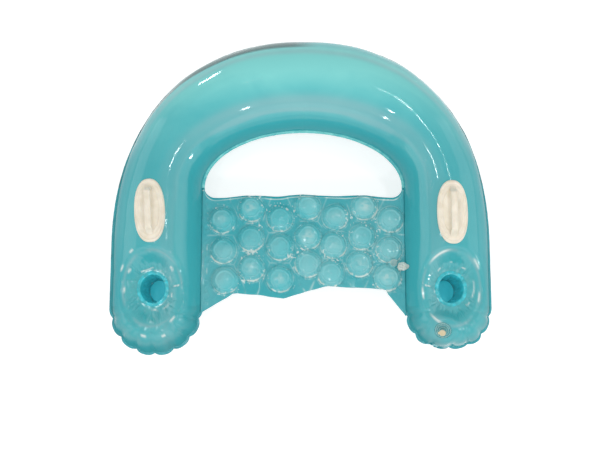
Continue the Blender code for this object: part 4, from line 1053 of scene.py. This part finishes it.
def seat_height(x, y, up, settings):
    """Height of a seat film over the seam: sagging web, domes h * (1 - r^2.3)^0.6, their puckered rims
    and the flat pocket under the valve."""
    wide = np.abs(x) < SEAT_FOLD
    middle = SEAT_LAP - SEAT_SAG * (1.0 - np.clip(np.abs(x) / SEAT_FOLD, 0.0, 1.0) ** 2)
    swell, pucker = np.zeros_like(x), np.zeros_like(x)
    for index, (centre_x, centre_y) in enumerate(bubble_centres()):
        shift, taller = lattice(np.array([index, index + 130]), np.array([0]), 6)
        across, along = x - centre_x, y - centre_y
        turn = np.arctan2(along, across)
        own = settings.bubble_radius * (1.0 + 0.05 * noise(turn * 1.6 + 9.0, 0.0, index))
        off = np.hypot(across, along) / own
        dome = settings.bubble_height * (1.0 + 0.10 * taller) * np.maximum(0.0, 1.0 - off**2.3) ** 0.60
        dome = dome - 1.5 * MM * fall(off, 0.66, 0.08) + 1.6 * MM * bell(off, 0.45) * (off < 0.66)
        dome = dome + 0.8 * MM * bell(off - 0.68, 0.035) - 0.5 * MM * bell(off - 0.80, 0.03)
        dome = dome + 0.9 * MM * patches(x, y, 17, 400 + index) * bell(off - 0.5, 0.5)
        swell = np.where(off < 1.0, np.maximum(swell, dome), swell)
        spokes = folds(turn * 3.4, off * 1.5, 200 + index) + 0.7 * folds(turn * 8.0, off * 2.0, 300 + index)
        strong = 0.35 + 0.9 * smoothstep(0.4 - 0.9 * np.sin(turn))
        pucker += settings.rim_pucker * spokes * bell(off - 0.95, 0.15) * strong
        pucker += 1.3 * MM * (bell(off - 1.06, 0.035) - 0.8 * bell(off - 0.99, 0.03))
        if (index + 1) % BUBBLE_ROWS:
            channel = bell(across - 2 * MM * shift, 4 * MM) * bell(along + BUBBLE_PITCH_Y / 2, 12 * MM)
            swell = np.maximum(swell, 3.2 * MM * channel)
    edge = np.clip((SEAT_FOLD - np.abs(x)) / (14 * MM), 0.0, 1.0)
    side_puckers = folds(y / (9 * MM), x / (30 * MM), 21) * bell(edge - 0.25, 0.45) * wide
    web_sag = (0.9 * MM * patches(x, y, 26, 22) + 0.7 * MM * patches(x, y, 19, 24, folds)) * edge
    lift = up * (swell + 0.25 * MM) + pucker * wide + 1.3 * MM * side_puckers + web_sag
    from_x, from_y = x - (SEAT_VALVE_X - LEAN), y - SEAT_VALVE_Y
    from_pocket = np.hypot(from_x, from_y)
    share = 1.0 - rise(from_pocket, POCKET_TOP_RADIUS, POCKET_RADIUS - POCKET_TOP_RADIUS)
    pocket = SEAT_LAP - SEAT_SAG * (1.0 - ((SEAT_VALVE_X - LEAN) / SEAT_FOLD) ** 2) + up * POCKET_HEIGHT
    ruck = 1.2 * MM * folds(np.arctan2(from_y, from_x) * 3.0, 0.0, 60) * bell(from_pocket - 15 * MM, 4 * MM)
    return (middle + lift + ruck) * (1.0 - share) + pocket * share


def seat_tones(x, y, down, settings):
    """Shares at each point of the seat, under their labels.

    pale_lines_and_sheen: whitish weld lines round each bubble, broken by a noise, where two bubbles
    are equally near, and beside the back edge and the side seams, with painted highlights: rims painted
    stronger towards the front, which faces the light, bright painted crescents on the front rims and a
    painted glare on the tops of some bubbles. tone_and_shade: the web, a random tone in each bubble,
    painted shade on the domes' steep walls and a dark weld line by the back edge. painted_glint: painted
    glints, white specks at the tips of a fine noise outside the flat discs.
    """
    centres = np.array(bubble_centres())
    away = np.hypot(x[..., None] - centres[:, 0], y[..., None] - centres[:, 1])
    nearest = away.argmin(axis=-1)
    first, second = np.moveaxis(np.sort(away, axis=-1)[..., :2], -1, 0)
    off = first / settings.bubble_radius
    turn = np.arctan2(y - centres[nearest, 1], x - centres[nearest, 0])
    # Painted highlight: rims painted stronger on their front side, which faces the light
    strong = 0.25 + 0.75 * smoothstep(0.35 - 0.9 * np.sin(turn))
    broken = smoothstep(0.55 + 1.3 * noise(turn * 3.0, nearest * 1.7, 70))
    specks = 0.45 + 0.55 * smoothstep(1.6 * noise(turn * 11.0, nearest * 2.3, 77))
    rims = 0.95 * ((bell(off - 1.01, 0.045) + 0.6 * bell(off - 1.13, 0.035)) * broken * strong * specks)
    # Painted highlight: bright crescents on the bubbles' front rims
    front_side = smoothstep(-0.15 - 1.1 * np.sin(turn + 0.5 * np.sin(nearest * 2.4)))
    crescent = bell(off - 0.97 - 0.03 * noise(turn * 4.0, nearest * 1.3, 79), 0.05) * front_side
    crescent = crescent * smoothstep(0.75 + 1.2 * noise(turn * 5.0, nearest * 3.1, 78))
    rims = rims + 1.1 * crescent * (0.35 + 0.65 * smoothstep(np.sin(nearest * 1.9) + 0.9))
    # Painted highlight: a glare painted on the tops of some bubbles
    glare = bell(off - 0.12, 0.30) * np.maximum(0.0, np.sin(nearest * 2.6 + 0.4))
    rims = rims + 0.35 * glare * smoothstep(0.6 + noise(x / (9 * MM), y / (6 * MM), 80))
    rims = rims + 0.16 * bell(off - 0.68, 0.03) * broken + 0.22 * bell(off - 0.86, 0.025) * specks
    comb = bell(second - first, 3.4 * MM) * rise(off, 1.0, 0.08)
    comb = 0.50 * comb * smoothstep(0.35 + 1.5 * patches(x, y, 21, 72)) * (0.5 + 0.5 * strong)
    depth = down * SEAT_DEPTH
    edge = bell(depth - 6.5 * MM - 1.5 * MM * noise(x / (30 * MM), 0.0, 73), 1.5 * MM)
    edge = edge * (0.4 + 0.6 * smoothstep(0.5 + noise(x / (40 * MM), 0.0, 74)))
    sides = bell(SEAT_FOLD - 6 * MM - np.abs(x), 2.0 * MM) * smoothstep(0.2 + noise(0.0, y / (7 * MM), 75))
    sides = sides * smoothstep(0.2 + 1.5 * noise(0.0, y / (31 * MM), 76))
    disc = 0.03 * fall(off, 0.64, 0.06)
    pale_lines_and_sheen = np.clip(rims + comb + 0.9 * edge + 0.5 * sides + disc, 0.0, 1.0)
    # The web colour, a random tone in each bubble and a dark weld line by the back edge, with painted shade
    # on the domes' steep walls
    tone_and_shade = 0.75 * rise(off, 0.95, 0.12) * (1.0 - pale_lines_and_sheen) + 0.25 * bell(off - 0.84, 0.08)
    tone_and_shade = tone_and_shade + (0.22 + 0.16 * noise(nearest * 1.7, 0.0, 82)) * (off < 0.95) * (1.0 - pale_lines_and_sheen)
    tone_and_shade = np.clip(tone_and_shade + 0.8 * bell(depth - 2.2 * MM, 1.8 * MM), 0.0, 1.0)
    # Painted glints: white specks at the tips of a fine noise outside the flat discs
    tips = rise(patches(x, y, 4.2, 120), 0.58, 0.16)
    tips = tips * smoothstep(0.25 + 1.6 * patches(x, y, 32, 121))
    painted_glint = 0.8 * tips * rise(off, 0.72, 0.15) * fall(off, 1.35, 0.2)
    none = np.zeros_like(x)
    return {"pale_lines_and_sheen": pale_lines_and_sheen, "tone_and_shade": tone_and_shade, "painted_reflection": none, "shade_strip": none, "painted_glint": painted_glint}


class POOLCHAIR_OT_seat(bpy.types.Operator):
    """Make the bubble seat: two films welded round the bubbles, gathered at their rims"""

    bl_idname = "pool_chair.seat"
    bl_label = "Bubble seat"

    def execute(self, context):
        settings = context.scene.pool_seat
        x, y = seat_plan()
        rows, columns = x.shape
        points, triangles = [], []
        middle = (seat_height(x, y, 1, settings) + seat_height(x, y, -1, settings)) / 2
        for up in (1, -1):
            tall = seat_height(x, y, up, settings)
            for border in (np.s_[0, :], np.s_[-1, :], np.s_[:, 0], np.s_[:, -1]):
                tall[border] = middle[border]
            points.append(np.stack([x, y, SEAM_HEIGHT + tall], axis=-1).reshape(-1, 3))
            faces = grid_triangles(rows, columns, 0 if up > 0 else rows * columns)
            triangles.append(faces[:, ::-1] if up > 0 else faces)
        tags = np.repeat([0, 1], [len(triangles[0]), len(triangles[1])])
        plain, triangles, tags = weld(np.concatenate(points), np.concatenate(triangles), tags)
        down = np.clip((np.interp(plain[:, 0], x[0], y[0]) - plain[:, 1]) / SEAT_DEPTH, 0.0, 1.0)
        tones = seat_tones(plain[:, 0], plain[:, 1], down, settings)
        films = [
            # The seat film, lightened by weld lines and painted highlights in the weld-mark colour, and
            # deepened by the web colour and painted shade
            aqua_film("seat_clear_vinyl_top", (settings.film, settings.mark), 0.80, (0.03, 0.08), 0.9,
                      deep=settings.web, wrinkle_size=0.007),
            aqua_film("seat_clear_vinyl_under", (settings.web, settings.film), 1.0),
        ]
        cushion = make_piece("bubble_seat", lean(plain), triangles, films, tags, tones)
        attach(cushion, "float")
        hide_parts("seat_top_sheet", "seat_bottom_sheet")
        return {"FINISHED"}


# Cups


def cup_surface():
    """A cup as one closed turned skin, its oval round y stretched by the mouth's own difference.

    The profile runs from the floor's centre out, up the wall, over the lip and back down outside.
    The wall is pleated: radius - p * (1 - |sin(4 t)|^0.7), fading at the mouth and the floor.
    """
    mouth, foot = CUP_HALF_X - CUP_MOUTH_INSET, CUP_HALF_X - CUP_FOOT_INSET
    floor, top = -CUP_FLOOR_DROP + 0.9 * MM, CUP_MOUTH_HEIGHT + 0.6 * MM

    def by_floor(rows):
        return [(foot * share + out * MM, floor + up * MM) for share, out, up in rows]

    climb = np.linspace(0.0, 1.0, CUP_WALL_STEPS + 2)[1:-1]
    profile = by_floor(CUP_FLOOR_PROFILE)
    profile += [(foot + (mouth - foot) * share, floor + (top - floor) * share) for share in climb]
    profile += [(mouth + out * MM, top + up * MM) for out, up in CUP_LIP_PROFILE]
    profile = np.array(profile + by_floor(CUP_UNDERSIDE_PROFILE))
    turn = full_turn(CUP_TURN_STEPS)
    radius, tall = profile[:, :1] * np.ones_like(turn), profile[:, 1:] * np.ones_like(turn)
    depth = (profile[:, 1:] - floor) / (top - floor)
    row = np.arange(len(profile))[:, None] - len(CUP_FLOOR_PROFILE)
    on_wall = (row >= 0) & (row < CUP_WALL_STEPS)
    strength = CUP_PLEAT_DEPTH * fall(depth, 1.0, 0.30) * smoothstep(depth / 0.1) * on_wall
    pleat = 1.0 - np.abs(np.sin(4 * turn + 0.6)) ** 0.7 + 0.15 * folds(turn * 4.0, 0.0, 33)
    radius = radius - strength * pleat * (0.6 + 0.4 * noise(turn * 2.0, depth * 3.0, 35))
    on_lip = (profile[:, :1] > mouth) & (profile[:, 1:] > top)
    ruffle = folds(turn * 5.0, 0.0, 37) * CUP_RUFFLE
    tall = tall + on_lip * ruffle * rise(radius, mouth, 6 * MM)
    stretch = (CUP_HALF_Y - CUP_HALF_X) * np.minimum(radius / foot, 1.0)
    return np.stack([radius * np.cos(turn), (radius + stretch) * np.sin(turn), tall], axis=-1)


class POOLCHAIR_OT_cups(bpy.types.Operator):
    """Make the two cup wells: floor, pleated wall and the lip welded to the pod"""

    bl_idname = "pool_chair.cups"
    bl_label = "Cup wells"

    def execute(self, context):
        trim = context.scene.pool_trim
        # Painted light: the wall glows weakly and the floor is painted brighter and glows more, standing for
        # the light that comes into the well
        sheet = cup_vinyl("heat_formed_cup_vinyl", trim.cup, trim.cup_floor, -0.05, 0.07)
        base = cup_vinyl("cup_floor_vinyl", trim.cup_floor, trim.cup_floor, 0.32, 0.26)
        grid = cup_surface()
        rows, columns = grid.shape[:2]
        tags = np.repeat(np.where(np.arange(rows - 1) < CUP_FLOOR_BANDS, 1, 0), 2 * columns)
        for word, side in (("left", -1), ("right", 1)):
            placed = lean(grid + np.array([side * POD_X, CUP_Y, SEAM_HEIGHT]))
            cup = closed_piece(f"cup_{word}", placed, [sheet, base], tags)
            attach(cup, "float")
            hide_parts(f"cup_sleeve_{word}", f"cup_floor_{word}")
        return {"FINISHED"}


# Handles


def handle_plan(across, along, turn):
    """Plan place of a point of the right handle, turned about its middle."""
    x = HANDLE_X + across * math.cos(turn) - along * math.sin(turn)
    y = HANDLE_Y + across * math.sin(turn) + along * math.cos(turn)
    return x, y


def plate_surface(turn):
    """The handle's oval plate over the tube: polar rings whose height is a sum of bells and steps.

    A rolled rim near the edge, a step down inside it and a racetrack ridge round the grip.
    """
    share = np.append(np.linspace(0.0, 0.9, 46), np.linspace(0.91, 1.0, 14))
    lift = 2.2 * MM + 1.6 * MM * bell(share - 0.935, 0.030) + 0.7 * MM * bell(share - 0.80, 0.022)
    lift = lift + 0.9 * MM * bell(share - 0.66, 0.03) - 0.5 * MM * fall(share, 0.62, 0.05)
    lift = lift - 2.4 * MM * rise(share, 0.965, 0.035) ** 2
    under = np.linspace(0.99, 0.0, 12)
    lift = np.append(lift, np.full_like(under, -0.1 * MM))[:, None]
    share = np.append(share, under)[:, None]
    angle = full_turn(PLATE_TURN_STEPS)
    across = share * HANDLE_HALF_X * bent(np.cos(angle), 2.0 / HANDLE_POWER)
    along = share * HANDLE_HALF_Y * bent(np.sin(angle), 2.0 / HANDLE_POWER)
    x, y = handle_plan(across, along, turn)
    return np.stack([x, y, film_height(x, y, CUP_MOUTH_HEIGHT) + 1.2 * MM + lift], axis=-1)


def grip_surface(turn):
    """The strap grip: a rounded-box section carried along a bridge that rises from the plate."""
    way = np.linspace(-1.0, 1.0, GRIP_ROWS)[:, None]
    reach = GRIP_HALF_LENGTH * way
    foot = fall(np.abs(reach), GRIP_HALF_LENGTH, 22 * MM)
    crest = film_height(np.array(POD_X), HANDLE_Y + reach, CUP_MOUTH_HEIGHT)
    middle = film_height(np.array(POD_X), np.array(HANDLE_Y), CUP_MOUTH_HEIGHT)
    base = crest + (middle - crest) * foot
    centre = base + 3.4 * MM + (GRIP_CLEARANCE + GRIP_THICKNESS / 2) * foot - 3.0 * MM * (1.0 - foot)
    closing = np.where(np.abs(way) > 0.999, 0.0, 1.0)
    wide = GRIP_HALF_WIDTH * (1.0 + 0.12 * (1.0 - foot)) * closing
    thick = GRIP_THICKNESS / 2 * (1.0 + 0.5 * (1.0 - foot)) * closing
    angle = full_turn(GRIP_TURN_STEPS)
    across, lift = wide * bent(np.cos(angle), GRIP_BOXINESS), thick * bent(np.sin(angle), GRIP_BOXINESS)
    crown = np.where(lift > 0, GRIP_CROWN * (1.0 - (across / GRIP_HALF_WIDTH) ** 2), 0.0)
    x, y = handle_plan(across, reach * np.ones_like(angle), turn)
    return np.stack([x, y, centre + lift + crown], axis=-1)


class POOLCHAIR_OT_handles(bpy.types.Operator):
    """Make the two moulded grab handles: the ridged plate and the strap grip"""

    bl_idname = "pool_chair.handles"
    bl_label = "Grab handles"

    def execute(self, context):
        trim = context.scene.pool_trim
        cream = moulded_vinyl("cream_moulded_vinyl", trim.handle, linear(HANDLE_SHADE), 0.34)
        for word, side, turn in (("left", -1, -LEFT_HANDLE_TURN), ("right", 1, 0.0)):
            for label, surface in (("plate", plate_surface), ("grip", grip_surface)):
                grid = surface(turn) * np.array([side, 1.0, 1.0]) + np.array([0.0, 0.0, SEAM_HEIGHT])
                grid = lean(grid) + np.array([*HANDLE_NUDGE[word], 0.0]) * MM
                flipped = (label == "plate") == (side > 0)
                piece = closed_piece(f"handle_{label}_{word}", grid, [cream], flipped=flipped)
                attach(piece, "float")
                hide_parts(f"grab_handle_{word}")
        return {"FINISHED"}


def skirt_surface():
    """The crumpled clear film beside the seat valve: an oval rag with a ragged rim, closed below.

    It lies on the seat and up the arm's flank, raised by folds two to four millimetres high.
    """
    share = np.append(np.linspace(0.0, 1.0, SKIRT_RINGS), np.linspace(0.97, 0.0, SKIRT_UNDER_RINGS))[:, None]
    under = (np.arange(len(share)) >= SKIRT_RINGS)[:, None]
    turn = full_turn(SKIRT_TURN_STEPS)
    rim = 1.0 + 0.28 * noise(np.cos(turn) * 1.4 + 3.0, np.sin(turn) * 1.4, 110)
    rim = rim + 0.08 * folds(turn * 4.0, 0.0, 111)
    x = SEAT_VALVE_X + SKIRT_SHIFT_X + SKIRT_HALF_X * share * rim * np.cos(turn)
    y = SEAT_VALVE_Y + SKIRT_SHIFT_Y + SKIRT_HALF_Y * share * rim * np.sin(turn)
    flank = film_height(np.maximum(x - LEAN, INNER_EDGE + SEAM_FLANGE), y, CUP_MOUTH_HEIGHT)
    crumple = 2.6 * MM * patches(x, y, 6, 112, folds) + 1.5 * MM * patches(x, y, 3, 113, folds)
    z = SEAM_HEIGHT + np.clip(flank, 13 * MM, 40 * MM) + 5 * MM + crumple * (0.4 + 0.6 * share)
    return np.stack([x, y, z - 0.5 * MM * under], axis=-1)


class POOLCHAIR_OT_valves(bpy.types.Operator):
    """Finish the valves' own solids, clear mouldings and cream plugs, and add the seat valve's skirt"""

    bl_idname = "pool_chair.valves"
    bl_label = "Air valves"

    def execute(self, context):
        trim = context.scene.pool_trim
        clear = moulded_vinyl("clear_moulded_vinyl", linear(CLEAR_MOULDING), trim.clear, 0.14, 0.38)
        turned = moulded_vinyl("clear_turned_vinyl", linear(TURNED_CLEAR), linear(TURNED_SHADE), 0.14, 0.36,
                               VALVE_SPOT)
        plug = moulded_vinyl("cream_plug_vinyl", trim.plug, linear(PLUG_SHADE), 0.32)
        finishes = {"main_valve_plug": plug, "main_valve_base": turned}
        for valve in ("main_valve", "seat_valve"):
            for piece in ("base", "stem", "flap", "plug"):
                node = frame["nodes"][f"{valve}_{piece}"]
                node.data.materials.clear()
                node.data.materials.append(finishes.get(node.name, clear))
        bright, shade = linear(CRUMPLED_CLEAR), linear(CRUMPLED_SHADE)
        film = moulded_vinyl("crumpled_clear_film", bright, shade, 0.12, 0.72)
        skirt = closed_piece("seat_valve_skirt", skirt_surface(), [film])
        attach(skirt, "float")
        return {"FINISHED"}


# Stage


MIDDLE = (0.0, 0.0, 0.1)
# Soft area lamps: name, place, aim, width, power, and length where they aren't square
LAMPS = (
    ("front_wall", (0.0, -3.2, 1.5), (0.0, 0.0, 0.9), 5.6, 34.0, 2.2),
    ("left_wall", (-3.2, 0.2, 1.5), (0.0, 0.2, 0.9), 5.0, 35.0, 2.2),
    ("right_wall", (3.2, 0.2, 1.5), (0.0, 0.2, 0.9), 5.0, 28.0, 2.2),
    ("right_lamp", (0.86, 0.84, 2.98), MIDDLE, 0.75, 7.0, 0.05),
    ("back_lamp", (-1.75, 3.24, 1.3), (-0.26, 0.4, 0.17), 0.30, 9.0),
    ("front_lamp", (0.6, -1.9, 2.6), MIDDLE, 0.12, 7.0),
    ("side_lamp", (-1.13, -1.86, 2.97), MIDDLE, 0.12, 8.0),
    ("near_lamp", (-0.43, -0.55, 2.98), MIDDLE, 0.07, 3.0),
    ("low_lamp", (2.60, -1.10, 1.40), MIDDLE, 0.20, 8.0),
    ("left_arc_lamp", (-0.85, 0.03, 2.9), (0.0, 0.03, 0.1), 0.55, 5.0, 0.07),
    ("right_arc_lamp", (1.05, 0.03, 2.9), (0.0, 0.03, 0.1), 0.55, 5.0, 0.07),
)
CAMERA_X, CAMERA_Y = -0.00135, -0.418
FLOOR_HALF = 30.0
FLOOR_GLOW = 0.72


def background_rays(tree):
    """1 for rays from the camera, a gloss or a clear film, which see the plain white background."""
    path = add_node(tree, "ShaderNodeLightPath")
    seen = path.outputs["Is Camera Ray"]
    for kind in ("Is Glossy Ray", "Is Transmission Ray"):
        seen = calc(tree, "ADD", seen, path.outputs[kind], clamp=True)
    return seen


def floor_material(colour):
    """Plain matt white floor that keeps soft shadows; the camera sees it a little brighter."""
    material, tree, output = new_material("plain_white_floor")
    shader = add_node(tree, "ShaderNodeBsdfPrincipled", {"Base Color": (*colour, 1.0), "Roughness": 0.9})
    glow = calc(tree, "MULTIPLY", background_rays(tree), FLOOR_GLOW)
    light = add_node(tree, "ShaderNodeEmission", {"Strength": glow})
    both = add_node(tree, "ShaderNodeAddShader", {0: shader.outputs[0], 1: light.outputs[0]})
    tree.links.new(both.outputs[0], output.inputs["Surface"])
    return material


def add_lamp(name, place, aim, size, power, length=None):
    """A soft area lamp at a place, turned to its aim."""
    data = bpy.data.lights.new(name, "AREA")
    data.shape = "RECTANGLE"
    data.size, data.size_y = size, length or size
    data.energy = power
    lamp = bpy.data.objects.new(name, data)
    lamp.location = place
    lamp.rotation_euler = (Vector(aim) - Vector(place)).to_track_quat("-Z", "Y").to_euler()
    bpy.context.scene.collection.objects.link(lamp)


class POOLCHAIR_OT_stage(bpy.types.Operator):
    """Make the floor, the lamps, the world and the camera"""

    bl_idname = "pool_chair.stage"
    bl_label = "Stage"

    def execute(self, context):
        scene = context.scene
        stage = scene.pool_stage
        corners = FLOOR_HALF * np.array([[-1.0, -1.0, 0], [1.0, -1.0, 0], [1.0, 1.0, 0], [-1.0, 1.0, 0]])
        corners[:, 2] = CAD_LOW.z - 0.3 * MM
        floor = make_piece("floor", corners, np.array([[0, 1, 2], [0, 2, 3]]), [floor_material(stage.floor)])
        world = bpy.data.worlds.new("plain_sky")
        world.use_nodes = True
        tree = world.node_tree
        tree.nodes.clear()
        seen = add_node(tree, "ShaderNodeMix", {0: background_rays(tree), 2: stage.sky, 3: 1.0})
        light = add_node(tree, "ShaderNodeBackground", {"Strength": seen.outputs[0]})
        output = add_node(tree, "ShaderNodeOutputWorld")
        tree.links.new(light.outputs[0], output.inputs["Surface"])
        scene.world = world
        for lamp in LAMPS:
            add_lamp(*lamp)
        data = bpy.data.cameras.new("photo_camera")
        data.sensor_fit = "HORIZONTAL"
        data.sensor_width = 36.0
        data.lens = stage.lens
        camera = bpy.data.objects.new("photo_camera", data)
        camera.location = (CAMERA_X, CAMERA_Y, stage.camera_height)
        camera.rotation_euler = (stage.camera_tilt, 0.0, 0.0)
        scene.collection.objects.link(camera)
        scene.camera = camera
        scene.view_settings.view_transform = "Standard"
        return {"FINISHED"}


class POOLCHAIR_PT_panel(bpy.types.Panel):
    """Lists the pool chair's pieces"""

    bl_idname = "POOLCHAIR_PT_panel"
    bl_label = "Pool chair"
    bl_space_type = "VIEW_3D"
    bl_region_type = "UI"
    bl_category = "Pool chair"

    def draw(self, context):
        for name in ("pool_ring", "pool_seat", "pool_trim", "pool_stage"):
            group = getattr(context.scene, name)
            for key in group.__annotations__:
                self.layout.prop(group, key)
        for operator in OPERATORS:
            self.layout.operator(operator.bl_idname)


GROUPS = {
    "pool_ring": RingSettings,
    "pool_seat": SeatSettings,
    "pool_trim": TrimSettings,
    "pool_stage": StageSettings,
}
OPERATORS = (
    POOLCHAIR_OT_stage,
    POOLCHAIR_OT_ring,
    POOLCHAIR_OT_seat,
    POOLCHAIR_OT_cups,
    POOLCHAIR_OT_handles,
    POOLCHAIR_OT_valves,
)


def register():
    """Register the settings, operators and panel."""
    for name, group in GROUPS.items():
        bpy.utils.register_class(group)
        setattr(bpy.types.Scene, name, bpy.props.PointerProperty(type=group))
    for kind in (*OPERATORS, POOLCHAIR_PT_panel):
        bpy.utils.register_class(kind)


def unregister():
    """Take the settings, operators and panel away again."""
    for kind in reversed((*OPERATORS, POOLCHAIR_PT_panel)):
        bpy.utils.unregister_class(kind)
    for name, group in GROUPS.items():
        delattr(bpy.types.Scene, name)
        bpy.utils.unregister_class(group)


def main():
    """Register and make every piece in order."""
    for old in list(bpy.context.scene.objects):
        if old.name in ("Cube", "Light", "Camera"):
            bpy.data.objects.remove(old, do_unlink=True)
    register()
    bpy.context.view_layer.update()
    for operator in OPERATORS:
        getattr(bpy.ops.pool_chair, operator.bl_idname.split(".")[1])()


if __name__ == "__main__":
    main()
